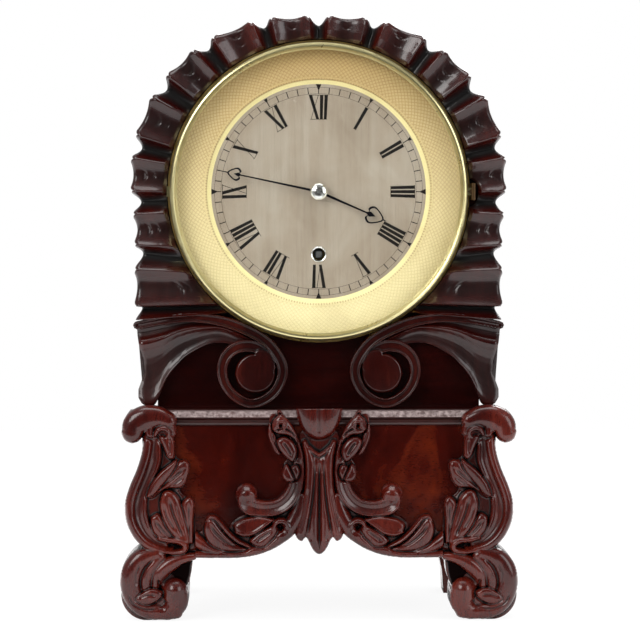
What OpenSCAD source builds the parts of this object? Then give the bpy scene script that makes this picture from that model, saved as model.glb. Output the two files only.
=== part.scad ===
// Carved mantel timepiece with a single fusee movement.
// +Z is up, the dial faces -Y and +X is to the right of someone facing the dial.
// The origin is under the middle of the case, on the table. Lengths are in millimetres.

/* [Case] */
// Height of the base, from the table to the top of its moulding
base_h = 118.5; // [114:0.5:122]
// Height of the dial centre above the base
dial_rise = 124; // [122:0.5:127]
// Half width and arch radius of the case behind the carving
shell_r = 88; // [86:0.5:90]
// Thickness of the case sides and arch
shell_t = 8; // [6:0.5:9]
// Depth of the case between the front board and the back door
shell_d = 86; // [80:1:96]
// Thickness of the front board
board_t = 8; // [7:0.5:10]
// Radius of the hole in the front board
board_hole_r = 74; // [72:0.5:76]
// Half width of the base carcass
carcass_w = 92; // [90:0.5:94]
// Wall of the base carcass
carcass_t = 10; // [8:1:12]
// Height of the carcass underside above the table
apron_z = 36; // [34:0.5:38]
// Thickness of the board on top of the base
top_t = 6; // [5:0.5:8]
// Thickness of the seat board that carries the movement
seat_t = 8; // [6:0.5:10]
// Thickness of the back door
door_t = 6; // [5:0.5:8]

/* [Carving] */
// How far the front corner consoles stand in front of the front board
console_proud = 26; // [24:0.5:28]
// Thickness of the consoles in front of the base panel
console_t = 9; // [8:0.5:11]
// Thickness of the figured base panel
panel_t = 3; // [2:0.5:4]
// Height of the scallop crests above the front board
crest_h = 10; // [8:0.5:11]
// Depth of the narrow flutes below the crests
flute_d = 7.5; // [5:0.5:8]
// Depth of the wide scoops as a share of the flutes
scoop_share = 0.62; // [0.4:0.02:0.8]
// Radius of the scalloped outline at the top of the arch
crown_r = 100; // [98:0.5:102]
// Half width of the scalloped outline at the dial's height
scallop_w = 107.5; // [105:0.5:109]
// Half width of the rounded crests
crest_w = 2.5; // [1.8:0.1:2.6]
// How far the crests round down, as a share of the flutes
crest_roll = 0.42; // [0.2:0.02:0.5]
// Notch of a narrow flute in the outline
flute_notch = 6; // [3:0.5:7]
// Dip of a wide scoop in the outline
scoop_notch = 2.5; // [1:0.5:4]
// Radius of the volutes under the dial
volute_r = 19.7; // [18:0.1:20.5]

/* [Dial] */
// Radius of the silvered dial that shows
dial_r = 61; // [60:0.5:62]
// Outer radius of the engine-turned mask
mask_r = 81.5; // [80.5:0.1:81.7]
// Outer radius of the hinged bezel
bezel_r = 84.6; // [84.2:0.1:85]
// Height of the bezel from its seat to its rim
bezel_h = 9.8; // [9:0.1:11]
// Thickness of the dial plate
dial_t = 1.5; // [1:0.1:2]
// Thickness of the mask
mask_t = 2.5; // [2:0.1:3]
// Rise of the convex glass
glass_rise = 9; // [6:0.5:11]
// Thickness of the bezel glass
glass_t = 1.5; // [1.2:0.1:2]
// Radius of the winding hole
winding_hole_r = 3.7; // [3.4:0.1:4]
// Length of the minute hand to its tip
minute_len = 57.5; // [56:0.5:60]
// Length of the hour hand to its tip
hour_len = 42; // [38:0.5:46]
// Direction of the minute hand, clockwise from twelve
minute_a = 282; // [270:0.2:290]
// Direction of the hour hand, clockwise from twelve
hour_a = 113.6; // [110:0.2:118]

/* [Movement] */
// Gap between the movement plates
plate_gap = 38; // [37:0.5:42]
// Thickness of each movement plate
plate_t = 2.5; // [2:0.1:3]
// Space between the dial and the front plate
dial_gap = 9; // [8.8:0.1:10.5]
// Drop from the dial centre to the winding arbor
winding_drop = 35.7; // [35:0.1:36.5]
// Teeth of the great wheel
great_teeth = 96; // [96]
// Leaves of the centre pinion
centre_leaves = 8; // [8]
// Teeth of the centre wheel
centre_teeth = 84; // [84]
// Leaves of the third and escape pinions
train_leaves = 7; // [7]
// Teeth of the third wheel
third_teeth = 77; // [77]
// Teeth of the escape wheel
escape_teeth = 30; // [30]
// Tooth size of the centre wheel
centre_module = 0.6; // [0.56:0.01:0.62]
// Tooth size of the third wheel
third_module = 0.55; // [0.52:0.01:0.57]
// Thickness of the train wheels
wheel_t = 1.4; // [1:0.1:1.8]
// Thickness of the great wheel
great_t = 2.5; // [2:0.1:3]
// Radius of the escape wheel
escape_r = 14; // [13:0.1:14.5]
// Outer radius of the spring barrel
barrel_r = 22.5; // [21:0.1:22.8]
// Length of the spring barrel
barrel_l = 26; // [24:0.5:27]
// Largest radius of the fusee
fusee_r = 20; // [18:0.1:20.5]
// Smallest radius of the fusee
fusee_small_r = 9; // [7.5:0.1:9.5]
// Turns of the groove on the fusee
fusee_turns = 15; // [12:1:16]
// Radius of the gut line
line_r = 0.6; // [0.4:0.05:0.7]
// Length of the pendulum from its suspension to the middle of the bob
pendulum_l = 205; // [200:0.5:207]
// Radius of the pendulum bob
bob_r = 20; // [17:0.5:22]
// Thickness of the pendulum bob
bob_t = 10; // [8:0.5:12]

/* [Hidden] */
$fn = 48;

// Colours
mahogany = [0.33, 0.11, 0.06];
dark_mahogany = [0.22, 0.07, 0.04];
figured = [0.42, 0.15, 0.07];
brass = [0.78, 0.62, 0.30];
gilt = [0.83, 0.70, 0.38];
silvered = [0.74, 0.70, 0.62];
steel = [0.62, 0.63, 0.65];
blued = [0.07, 0.07, 0.10];
clear = [0.80, 0.88, 0.90, 0.35];

// Clearances
seat_gap = 0.2; // between pieces that rest against each other but are not glued
turn_fit = 0.05; // radial running clearance
swing_gap = 0.3; // between things that move past each other

// Depths, from the front backwards
knob_h = 6;
total_d = console_proud + board_t + shell_d + door_t + knob_h;
front_y = -total_d / 2;
board_y = front_y + console_proud;
board_back = board_y + board_t;
shell_back = board_back + shell_d;
door_back = shell_back + door_t;
carcass_y = front_y + console_t + panel_t;
carcass_back = shell_back + 4;
dial_front = board_y - dial_t;
mask_front = dial_front - mask_t;
plate_f = board_y + dial_gap; // front face of the front plate
gap_f = plate_f + plate_t; // inner face of the front plate
gap_b = gap_f + plate_gap; // inner face of the back plate
plate_b = gap_b + plate_t; // rear face of the back plate
bezel_back = mask_front - seat_gap;
bezel_top = bezel_back - bezel_h;
pendulum_y = plate_b + 12.5;

// Heights
dial_z = base_h + dial_rise;
carcass_top = base_h - top_t;
floor_t = 6;

// Movement geometry in the plane of the plates, measured from the dial centre
great_module = 2 * winding_drop / (great_teeth + centre_leaves);
centre_dist = centre_module * (centre_teeth + train_leaves) / 2;
third_dist = third_module * (third_teeth + train_leaves) / 2;
third_a = 41.3;
third_x = centre_dist * cos(third_a);
third_z = centre_dist * sin(third_a);
escape_z = third_z + sqrt(third_dist * third_dist - third_x * third_x);
pallet_z = escape_z + escape_r * 1.414;
escape_a = atan2(escape_z - third_z, -third_x); // direction from the third to the escape arbor
barrel_x = -37;
barrel_z = -winding_drop - 28.3;
plate_low = -90;
plate_high = pallet_z + 8;
plate_low_w = 64;
plate_high_w = 38;
seat_z = dial_z + plate_low;
pillar_low = [57.5, plate_low + 6];
pillar_high = [plate_high_w - 6, plate_high - 7];
pillar_spots = [for (p = [pillar_low, pillar_high], s = [-1, 1]) [s * p[0], p[1]]];
foot_spots = [for (z = [40, -50], s = [-1, 1]) [s * 30, z]];
suspension_z = dial_z + pallet_z;

// Depths of the wheels
centre_wheel_y = gap_f + 2.5;
third_wheel_y = gap_f + 14.5;
escape_wheel_y = gap_b - 6.5;
great_y = gap_b - 6.5; // front face of the great wheel
ratchet_t = 1.4;
ratchet_y = great_y - ratchet_t - swing_gap;
fusee_back = ratchet_y;
fusee_l = 22.5;
fusee_front = fusee_back - fusee_l;
barrel_back = great_y - 0.8;
barrel_front = barrel_back - barrel_l;

// Motion work: the cannon pinion and minute wheel are equal, and the hour wheel shares their distance
cannon_teeth = 36;
hour_teeth = 72;
minute_leaves = 6;
motion_module = 0.5;
motion_dist = motion_module * cannon_teeth;
hour_module = 2 * motion_dist / (hour_teeth + minute_leaves);
motion_a = 0;
cannon_y = plate_f - 2;
motion_t = 1.2;
bridge_y = cannon_y - motion_t - 1.2; // front of the bridge bar
bridge_t = 0.9;
hour_wheel_y = bridge_y - bridge_t - 1.2;
centre_r = 1;
cannon_r = 1.6;
bridge_pipe_r = 2.3;
hour_pipe_r = 3;
hour_hand_y = mask_front - 0.7;
minute_hand_y = hour_hand_y - 1.9;
hand_t = 0.6;

// Curves
function mix(a, b, t) = a * (1 - t) + b * t;
function spline(a, b, c, d, t) = 0.5 * (2 * b + (c - a) * t + (2 * a - 5 * b + 4 * c - d) * t * t
    + (3 * b - a - 3 * c + d) * t * t * t);
// A smooth open curve through points, n steps to a span
function curve(p, n) = let (m = len(p) - 1)
    [for (i = [0:m - 1], j = [0:n - 1])
        spline(p[max(i - 1, 0)], p[i], p[i + 1], p[min(i + 2, m)], j / n), p[m]];
// A smooth closed curve through points
function ring_curve(p, n) = let (m = len(p))
    [for (i = [0:m - 1], j = [0:n - 1])
        spline(p[(i + m - 1) % m], p[i], p[(i + 1) % m], p[(i + 2) % m], j / n)];
function mirrored(p) = [for (q = p) [-q[0], q[1]]];

// A flat shape drawn in X and Z, from depth y backwards through t
module slab(y, t) {
    translate([0, y + t, 0]) rotate([90, 0, 0]) linear_extrude(t) children();
}

// A turned piece whose axis runs along Y; its profile is a list of [radius, y]
module turned(profile) {
    rotate([90, 0, 0]) rotate_extrude() polygon([for (p = profile) [p[0], -p[1]]]);
}

// A round bar along Y from depth a to depth b
module rod(r, a, b) {
    translate([0, b, 0]) rotate([90, 0, 0]) cylinder(h = b - a, r = r);
}

// Puts a movement piece on the arbor at x, z measured from the dial centre
module at(x, z) {
    translate([x, 0, dial_z + z]) children();
}

// A solid through a list of rings with the same number of points each
module loft(rings) {
    n = len(rings);
    k = len(rings[0]);
    sides = [for (i = [0:n - 2], j = [0:k - 1])
        let (a = i * k + j, b = i * k + (j + 1) % k, c = b + k, d = a + k)
        each [[a, b, c], [a, c, d]]];
    first = [[for (j = [k - 1:-1:0]) j]];
    last = [[for (j = [0:k - 1]) (n - 1) * k + j]];
    polyhedron([for (r = rings) each r], concat(sides, first, last));
}

// A toothed outline; root and tip are tooth widths as shares of the pitch
function teeth(n, ri, ro, root, tip, rot) =
    [for (i = [0:n - 1], q = [[ri, -root], [ro, -tip], [ro, tip], [ri, root]])
        let (a = rot + (i + q[1] / 2) * 360 / n) [q[0] * cos(a), q[0] * sin(a)]];
function wheel_outline(n, m, rot) = teeth(n, m * (n / 2 - 1.25), m * (n / 2 + 0.9), 0.5, 0.16, rot);
function pinion_outline(n, m, rot) = teeth(n, m * (n / 2 - 1.35), m * (n / 2 + 0.45), 0.42, 0.25, rot);

// A crossed wheel: rim, hub and arms, with a hole for its arbor
module crossed(outline, rim_r, hub_r, hole_r, arms, arm_w) {
    difference() {
        polygon(outline);
        difference() {
            circle(rim_r);
            circle(hub_r);
            for (i = [0:arms - 1]) rotate(i * 360 / arms + 20)
                translate([0, -arm_w / 2]) square([rim_r + 1, arm_w]);
        }
        circle(hole_r);
    }
}

// A rounded roll that follows a path of [x, z] points and stands out from depth y to y - h
module roll(path, r0, r1, y, h, sides = 10) {
    n = len(path) - 1;
    for (i = [0:n - 1]) hull() for (t = [i / n, (i + 1) / n])
        roll_stop(path[round(t * n)], mix(r0, r1, t), y, h * (0.9 + 0.1 * sin(20 + 140 * t)), sides);
}

module roll_stop(p, r, y, h, sides) {
    translate([p[0], y, p[1]]) rotate([90, 0, 0]) {
        cylinder(h = max(h - r * 0.55, h / 2), r = r, $fn = sides);
        cylinder(h = h, r = r * 0.5, $fn = sides);
    }
}

// A carved leaf along a path: a raised rib between two hollows, pointed at its end
module leaf(path, w, y, h, side = 1) {
    n = len(path) - 1;
    rings = [for (i = [0:n])
        let (t = i / n, a = path[max(i - 1, 0)], b = path[min(i + 1, n)], d = b - a,
            u = [-d[1], d[0]] / norm(d),
            ww = w * max(pow(sin(180 * (0.12 + 0.86 * t)), 0.8), 0.06), hh = h * mix(0.75, 1, sin(180 * t)))
            [for (q = [[-1, 0], [-1, 0.55], [-0.5, 0.5], [0, 1], [0.5, 0.5], [1, 0.55], [1, 0]])
                [path[i][0] + u[0] * ww * q[0], y - hh * q[1], path[i][1] + u[1] * ww * q[0]]]];
    loft(side > 0 ? rings : [for (r = rings) [for (j = [len(r) - 1:-1:0]) r[j]]]);
}

// Scalloped surround
ridges = [3.4, 15.3, 21.7, 34.4, 41.8, 52.3, 60.6, 72.6, 79.9, 89.7, 97, 106, 113, 121.9, 125];
surround_in = 86.4;
hinge_clear = 4.4;
hinge_span = 5; // degrees each way from the hinge
function tip_r(a) = a < 90 ? crown_r + 4.9 * sin(2 * a) + (scallop_w - crown_r) * pow(sin(a), 2)
    : (scallop_w - 1.9 * min((a - 90) / 12, 1)) / sin(a);
function inner_a(a) = a < 90 ? a : a + 0.06 * pow(a - 90, 1.6);
function inner_r(a) = surround_in + hinge_clear * max(0, 1 - pow((a - 90) / hinge_span, 4));
// Width across the span between two ridges, halfway out
function span_w(a, b) = (b - a) * PI / 180 * (crown_r + surround_in) / 2;
function crest(w) = min(crest_w, 0.42 * w);
// Height share at fraction f of a span w wide: a rounded crest, then a hollow as deep as its share
function dip(f, w, deep) = let (c = crest(w), d = min(f, 1 - f) * w, u = min(d / c, 1),
    v = max(0, (d - c) / (w / 2 - c)))
    1 - crest_roll * (1 - sqrt(1 - u * u)) - (deep - crest_roll) * pow(sin(90 * v), 0.8);
function span_steps(w) = let (c = crest(w) / w)
    [0, 0.5 * c, 0.85 * c, c, mix(c, 0.5, 0.45), 0.5,
    mix(1 - c, 0.5, 0.45), 1 - c, 1 - 0.85 * c, 1 - 0.5 * c];
// Each flow line is [angle, height share, notch]
half_lines = concat(
    let (w = span_w(-ridges[0], ridges[0]))
        [for (f = [for (q = span_steps(w)) if (q >= 0.5) q])
            [mix(-ridges[0], ridges[0], f), dip(f, w, 1), flute_notch]],
    [for (k = [0:len(ridges) - 2]) let (wide = k % 2 == 0, w = span_w(ridges[k], ridges[k + 1]))
        for (f = span_steps(w)) [mix(ridges[k], ridges[k + 1], f), dip(f, w, wide ? scoop_share : 1),
            wide ? scoop_notch / scoop_share : flute_notch]],
    [[ridges[len(ridges) - 1], 1, 0]]);
surround_rows = [[0, 0.5], [0.08, 0.7], [0.4, 0.9], [0.75, 1], [0.93, 0.95], [1, 0.62]];
function flow_ring(s, l) = let (a = l[0], ro = tip_r(a) - l[2] * (1 - l[1]),
    p0 = inner_r(a) * [sin(inner_a(a)), cos(inner_a(a))], p1 = ro * [sin(a), cos(a)],
    low = crest_h - flute_d,
    front = [for (r = surround_rows) let (p = mix(p0, p1, r[0]))
        [s * p[0], board_y - low - flute_d * r[1] * (0.12 + 0.88 * l[1]), dial_z + p[1]]])
    concat([[s * p0[0], board_y, dial_z + p0[1]]], front, [[s * p1[0], board_y, dial_z + p1[1]]]);

module carved_surround() {
    n = len(half_lines);
    color(mahogany) loft(concat(
        [for (i = [n - 1:-1:1]) flow_ring(-1, half_lines[i])],
        [for (l = half_lines) flow_ring(1, l)]));
}

// Volute and the last scoop, drawn for the left side in [x, z] from the dial centre
volute_c = [-38, volute_r - dial_rise];
scoop_top = curve([[-105.4, -74.4], [-88, -72.7], [-70.5, -71.1], [-54, -73.8], [-40, -81.5]], 3);
scoop_low = curve([[-98, 0.3 - dial_rise], [-92, -111], [-83.5, -99.5], [-70, -91], [-56, -87.6],
    [-45, -88]], 2);
function along(p, t) = let (m = len(p) - 1, i = min(floor(t * m), m - 1)) mix(p[i], p[i + 1], t * m - i);
scoop_profile = [[0, 0], [0, 0.75], [0.1, 1], [0.22, 0.86], [0.5, 0.45], [0.8, 0.5], [0.94, 0.72],
    [1, 0.55], [1, 0]];
scoop_stations = 12;
function volute_path(turns, r0, r1, steps) = [for (i = [0:steps])
    let (t = i / steps, a = 205 - 360 * turns * t, r = mix(r0, r1, pow(t, 0.9)))
    volute_c + r * [cos(a), sin(a)]];

module volute(s) {
    scoop = [for (i = [0:scoop_stations]) let (t = i / scoop_stations, a = along(scoop_top, t),
        b = along(scoop_low, t), dent = 2.2 * pow(1 - t, 6))
        [for (q = scoop_profile) let (p = mix(a, b, q[0]))
            [s * (p[0] + dent * sin(180 * q[0])), board_y - crest_h * q[1], dial_z + p[1]]]];
    loft(s > 0 ? [for (r = scoop) [for (j = [len(r) - 1:-1:0]) r[j]]] : scoop);
    translate([s * volute_c[0], board_y, dial_z + volute_c[1]]) rotate([90, 0, 0]) {
        cylinder(h = crest_h * 0.45, r = volute_r, $fn = 40);
        cylinder(h = crest_h * 0.7, r1 = volute_r * 0.56, r2 = volute_r * 0.5, $fn = 28);
    }
    roll([for (p = volute_path(1.12, volute_r - 3.2, volute_r - 5.6, 26)) [s * p[0], dial_z + p[1]]],
        3.2, 2.2, board_y - 0.3, crest_h * 0.92);
}

// Front corner console, drawn for the left side in [x, z] above the table
foot_r = 18.7;
console_outer = [[-84, 119], [-93, 122.3], [-101, 122.5], [-108.5, 118], [-111.6, 110],
    [-110.6, 104.6], [-107.4, 102.2], [-102.4, 101.9], [-100.6, 98.6], [-101.6, 92], [-104.6, 85.4],
    [-108.4, 76.5], [-110.4, 68], [-110, 60], [-107, 51], [-101.5, 43.4], [-99.2, 40.4]];
console_foot = [[-102.6, 37.4], [-107.8, 32.4], [-111.6, 24], [-111.9, 15], [-108, 6.5], [-101, 1],
    [-93, -0.6], [-85, 0.4], [-78.4, 5.6], [-75, 13.4], [-77, 20.4], [-81.5, 23.9], [-86.6, 22.6], [-88.6, 24.8],
    [-85, 29.6], [-79, 33.2], [-72, 35.4]];
console_inner = [[-72, 41], [-84, 48], [-91, 58], [-93.5, 70], [-92, 84], [-88, 96], [-84.5, 104],
    [-81.5, 112]];
console_outline = ring_curve(concat(console_outer, console_foot, console_inner), 3);

module console(s) {
    outline = s < 0 ? console_outline : mirrored(console_outline);
    return_w = 22;
    intersection() {
        union() {
            slab(front_y + 2.4, console_t - 2.4) polygon(outline);
            slab(front_y + console_t - 1, console_proud - console_t + 5) intersection() {
                offset(delta = -0.5) polygon(outline);
                union() {
                    translate([s < 0 ? -carcass_w - return_w : carcass_w, 0])
                        square([return_w, base_h - 0.2]);
                    translate([s < 0 ? -carcass_w - return_w : carcass_w - return_w, -5])
                        square([2 * return_w, apron_z + 5]);
                }
            }
        }
        translate([-200, -200, 0]) cube([400, 400, 200]);
    }
    slope = front_y + console_t - 0.3;
    h = console_t - 0.3;
    roll([for (p = curve([[-96, 106.5], [-92, 112], [-96.6, 117], [-104, 116.2], [-106.6, 110.4]], 4))
        [s < 0 ? p[0] : -p[0], p[1]]], 3.2, 4.2, slope, h);
    roll([for (p = curve([[-97.5, 98], [-99.2, 88], [-103.6, 78], [-105.6, 68], [-104.4, 57], [-99, 47.6],
        [-91, 41.8], [-80, 38.6]], 4)) [s < 0 ? p[0] : -p[0], p[1]]], 3.4, 3.6, slope, h);
    roll([for (i = [0:20]) let (a = 95 + 300 * i / 20, r = mix(foot_r - 5.4, foot_r - 11, pow(i / 20, 1.6)),
        p = [-93.4 + 6 * i / 20, 18.4 - 3 * i / 20] + r * [cos(a), sin(a)]) [s < 0 ? p[0] : -p[0], p[1]]],
        5, 4.6, slope, h);
    for (l = [
        [[-99, 62], [-95, 76], [-88, 86], [-80.5, 91.5], 4.2],
        [[-101, 56], [-95, 66], [-86, 74], [-75.5, 77.5], 4.4],
        [[-98, 50], [-92, 58], [-84, 64], [-75, 68.5], 4],
        [[-93, 46], [-87, 51], [-79, 54.5], [-70.5, 56], 3.4],
        [[-97, 102], [-92, 100], [-87.5, 96], [-84.6, 90], 3.4]])
        leaf(curve([for (j = [0:3]) [s < 0 ? l[j][0] : -l[j][0], l[j][1]]], 3), l[4], slope, h - 0.6);
}

// Apron carving under the base panel, drawn for the left side
module apron(s) {
    y = carcass_y - panel_t - seat_gap / 2;
    function f(p) = [for (q = p) [s < 0 ? q[0] : -q[0], q[1]]];
    roll(f(curve([[-67, 39], [-56, 39.6], [-40, 41.6], [-27, 46.6], [-18.6, 54], [-13.6, 66],
        [-11.8, 84], [-14.5, 98], [-20, 109]], 4)), 3.2, 2.6, y, console_t);
    roll(f(curve([[-16, 70], [-23, 62], [-32, 60], [-40, 64.4], [-43.6, 71.6], [-39.6, 75.6],
        [-36.4, 72]], 4)), 3.6, 2.6, y, console_t);
    for (l = [
        [[-64, 41], [-60, 50], [-61, 57], [-65.6, 62], 4],
        [[-52, 42], [-49, 50], [-50, 58], [-54, 63], 4],
        [[-42, 43], [-38, 48], [-33, 52], [-25, 54], 4],
        [[-17, 104], [-23, 100], [-27, 92], [-27, 84], 4.6],
        [[-19, 110], [-26, 108], [-31, 103], [-34, 96], 4],
        [[-14, 92], [-19, 86], [-21, 80], [-19, 74], 3.4]])
        leaf(f(curve([for (j = [0:3]) l[j]], 3)), l[4], y, console_t - 1);
}

// Centre drop: a glossy leaf, a collar and a fluted pendant
drop_w = 8.6;
module centre_drop() {
    y = carcass_y - panel_t - seat_gap / 2;
    lip = 2.8; // clears the moulding of the base
    color(mahogany) {
        for (i = [-1:1]) roll([[i * drop_w * 0.6, 97], [i * drop_w * 0.5, 80], [i * drop_w * 0.32, 62],
            [i * 0.8, 46]], 3, 1.2, y, console_t - abs(i) * 1.6, 8);
        for (s = [-1, 1]) {
            leaf(curve([[0, 100], [s * 5, 104], [s * 10, 109], [s * 14.5, 115.6]], 3), 4.2, y - lip,
                console_t - lip - 0.6);
            roll([[0, 96.5], [s * 5, 99.5], [s * 9.4, 104]], 2, 1.2, y, console_t - 0.3, 8);
        }
        leaf(curve([[0, 121], [0, 112], [0, 105], [0, 98.6]], 3), 5.6, y - lip, console_t - lip);
    }
}

module volute_left() { color(mahogany) volute(1); }
module volute_right() { color(mahogany) volute(-1); }
module console_left() { color(mahogany) console(-1); }
module console_right() { color(mahogany) console(1); }
module apron_left() { color(mahogany) apron(-1); }
module apron_right() { color(mahogany) apron(1); }

// Case

// The arched outline of the upper case with half width w and its foot at height z
module arch(w, z) {
    translate([-w, z]) square([2 * w, dial_z - z]);
    translate([0, dial_z]) circle(w);
}

pillar_pocket_r = 4.4;
pillar_pocket_d = 2.6;
module front_board() {
    color(dark_mahogany) difference() {
        slab(board_y, board_t) difference() {
            arch(shell_r + 4, base_h);
            translate([0, dial_z]) circle(board_hole_r);
        }
        for (s = [-1, 1]) at(s * pillar_low[0], pillar_low[1])
            rod(pillar_pocket_r, board_back - pillar_pocket_d, board_back + 1);
    }
}

module case_shell() {
    color(dark_mahogany) slab(board_back, shell_d) difference() {
        arch(shell_r, base_h);
        arch(shell_r - shell_t, base_h - 1);
    }
}

rail_w = 10;
rod_room = 8; // from the seat's rear edge to the pendulum rod
module seat_board() {
    w = shell_r - shell_t - seat_gap;
    color(dark_mahogany) slab(board_back, pendulum_y - rod_room - board_back)
        translate([-w, seat_z - seat_t]) square([2 * w, seat_t]);
}

module seat_rails() {
    w = shell_r - shell_t;
    color(dark_mahogany) for (s = [-1, 1]) slab(board_back, pendulum_y - rod_room - 2 - board_back)
        translate([s * (w - rail_w / 2) - rail_w / 2, seat_z - seat_t - rail_w]) square([rail_w, rail_w]);
}

module base_carcass() {
    color(dark_mahogany) difference() {
        translate([-carcass_w, carcass_y, apron_z])
            cube([2 * carcass_w, carcass_back - carcass_y, carcass_top - apron_z]);
        translate([-carcass_w + carcass_t, carcass_y + carcass_t, apron_z + floor_t])
            cube([2 * (carcass_w - carcass_t), carcass_back - carcass_y - 2 * carcass_t, carcass_top]);
    }
}

module base_top() {
    w = carcass_w - 3;
    lip_w = 80;
    front = carcass_y - panel_t;
    color(mahogany) difference() {
        union() {
            translate([-w, front, carcass_top]) cube([2 * w, carcass_back + 1 - front, top_t]);
            translate([-lip_w, front - 2.5, carcass_top + 2]) cube([2 * lip_w, 3, top_t - 2]);
            translate([-lip_w, front - 1.2, carcass_top]) cube([2 * lip_w, 2, 3]);
        }
        translate([-shell_r + shell_t + 8, board_back + 6, carcass_top - 1])
            cube([2 * (shell_r - shell_t - 8), shell_d - 16, top_t + 2]);
    }
}

module base_panel() {
    color(figured) translate([-carcass_w, carcass_y - panel_t, apron_z + 2])
        cube([2 * carcass_w, panel_t, carcass_top - apron_z - 2]);
}

module rear_feet() {
    foot_d = 22;
    foot_w = 20;
    color(dark_mahogany) for (s = [-1, 1]) slab(carcass_back - foot_d, foot_d)
        polygon([for (p = [[0, 0], [0, apron_z], [foot_w, apron_z], [foot_w - 1, apron_z - 8],
            [foot_w - 4, 14], [foot_w - 5, 0]]) [s * (carcass_w - p[0]), p[1]]]);
}

door_w = shell_r - 1;
door_rail = 19;
pane_w = door_w - door_rail;
pane_low = base_h + 26;
pane_fit = 0.1;
module door_outline(w, z) { arch(w, z); }

// Door hinge axis, just outside the case on the right
hinge_x = shell_r + 0.8;
hinge_y = door_back + 1;
knuckle_r = 1.9;
pin_r = 0.8;
knuckle_l = 6;
hinge_heights = [base_h + 30, dial_z + 10];

module hinge_knuckle(x, y, z, l) {
    translate([x, y, z]) difference() {
        cylinder(h = l, r = knuckle_r);
        translate([0, 0, -1]) cylinder(h = l + 2, r = pin_r + turn_fit);
    }
}

module back_door() {
    color(dark_mahogany) slab(shell_back + seat_gap, door_t - seat_gap) difference() {
        arch(door_w, base_h + 1);
        arch(pane_w, pane_low);
        translate([button_x, button_z]) circle(button_r + turn_fit);
    }
    color(brass) for (z = hinge_heights) {
        hinge_knuckle(hinge_x, hinge_y, z - knuckle_l / 2, knuckle_l);
        translate([hinge_x - 9, door_back, z - knuckle_l / 2 + 0.1])
            cube([9 - pin_r - 0.3, 1, knuckle_l - 0.2]);
    }
}

module door_glass() {
    color(clear) slab(shell_back + seat_gap + 1, 2) arch(pane_w - pane_fit, pane_low + pane_fit);
}

// The fixed leaves, knuckles and pins of both door hinges
module door_hinges() {
    lug = knuckle_l / 2 + 0.15;
    color(brass) for (z = hinge_heights) {
        for (k = [z + lug, z - lug - knuckle_l]) {
            hinge_knuckle(hinge_x, hinge_y, k, knuckle_l);
            translate([shell_r, hinge_y - 16, k]) cube([1.2, 16 - pin_r - 0.2, knuckle_l]);
        }
        translate([shell_r, hinge_y - 16, z - lug - knuckle_l]) cube([1.2, 8, 3 * knuckle_l + 0.3]);
        translate([hinge_x, hinge_y, z - lug - knuckle_l - 0.4]) {
            cylinder(h = 3 * knuckle_l + 1.1, r = pin_r);
            cylinder(h = 0.4, r = pin_r + 0.5);
        }
    }
}

// Turn button of the back door, drawn unlatched with its tongue upright
button_r = 1.5;
button_x = -door_w + door_rail - 4;
button_z = dial_z - 20;
tongue_l = 7.4;
module door_button() {
    color(brass) translate([button_x, 0, button_z]) {
        rod(button_r, shell_back - 5, door_back + 1);
        turned([[0, door_back + 0.3], [4.6, door_back + 0.3], [4.6, door_back + 1.5],
            [2.4, door_back + 2.4], [3.4, door_back + 4], [2.6, door_back + knob_h - 0.4], [0, door_back + knob_h]]);
        slab(shell_back - 5, 2) translate([-2, -2.4]) square([4, tongue_l + 2.4]);
    }
}

module door_keeper() {
    x = -shell_r + shell_t;
    color(brass) translate([x, shell_back - 2.4, button_z - 5]) cube([button_x - 3.2 - x, 1.6, 10]);
}

// Dial and bezel
hinge_bx = bezel_r + 3;
hinge_by = bezel_back - 6.3;

bezel_knuckle_r = 1.3;
bezel_knuckle_l = 4.2;
bezel_pin_r = 0.55;
seat_knuckle_l = 2.4;
seat_knuckle_z = bezel_knuckle_l / 2 + 0.2 + seat_knuckle_l / 2;
module bezel_seat() {
    l = seat_knuckle_l;
    r = bezel_knuckle_r;
    color(brass) difference() {
        union() {
            at(0, 0) turned([[mask_r + seat_gap, board_y], [mask_r + seat_gap, mask_front],
                [surround_in - 0.5, mask_front], [surround_in - 0.4, board_y]]);
            at(0, 0) for (s = [-1, 1]) translate([0, 0, s * seat_knuckle_z - l / 2]) {
                translate([surround_in - 0.6, board_y - 3, 0]) cube([hinge_bx + r - surround_in + 0.6, 3, l]);
                translate([hinge_bx - r, hinge_by, 0]) cube([2 * r, board_y - hinge_by, l]);
                translate([hinge_bx, hinge_by, 0]) cylinder(h = l, r = r);
            }
        }
        translate([hinge_bx, hinge_by, dial_z - 10]) cylinder(h = 20, r = bezel_pin_r);
    }
    reach = seat_knuckle_z + l / 2 + 0.2;
    color(steel) translate([hinge_bx, hinge_by, dial_z - reach]) cylinder(h = 2 * reach, r = bezel_pin_r);
}

glass_edge = bezel_back - 5;
glass_in = bezel_r - 6.2;
function dome(r, edge, rise) = let (big = (r * r + rise * rise) / (2 * rise))
    [for (i = [0:9]) let (x = r * i / 9) [x, edge - (sqrt(big * big - x * x) - (big - rise))]];

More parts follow.
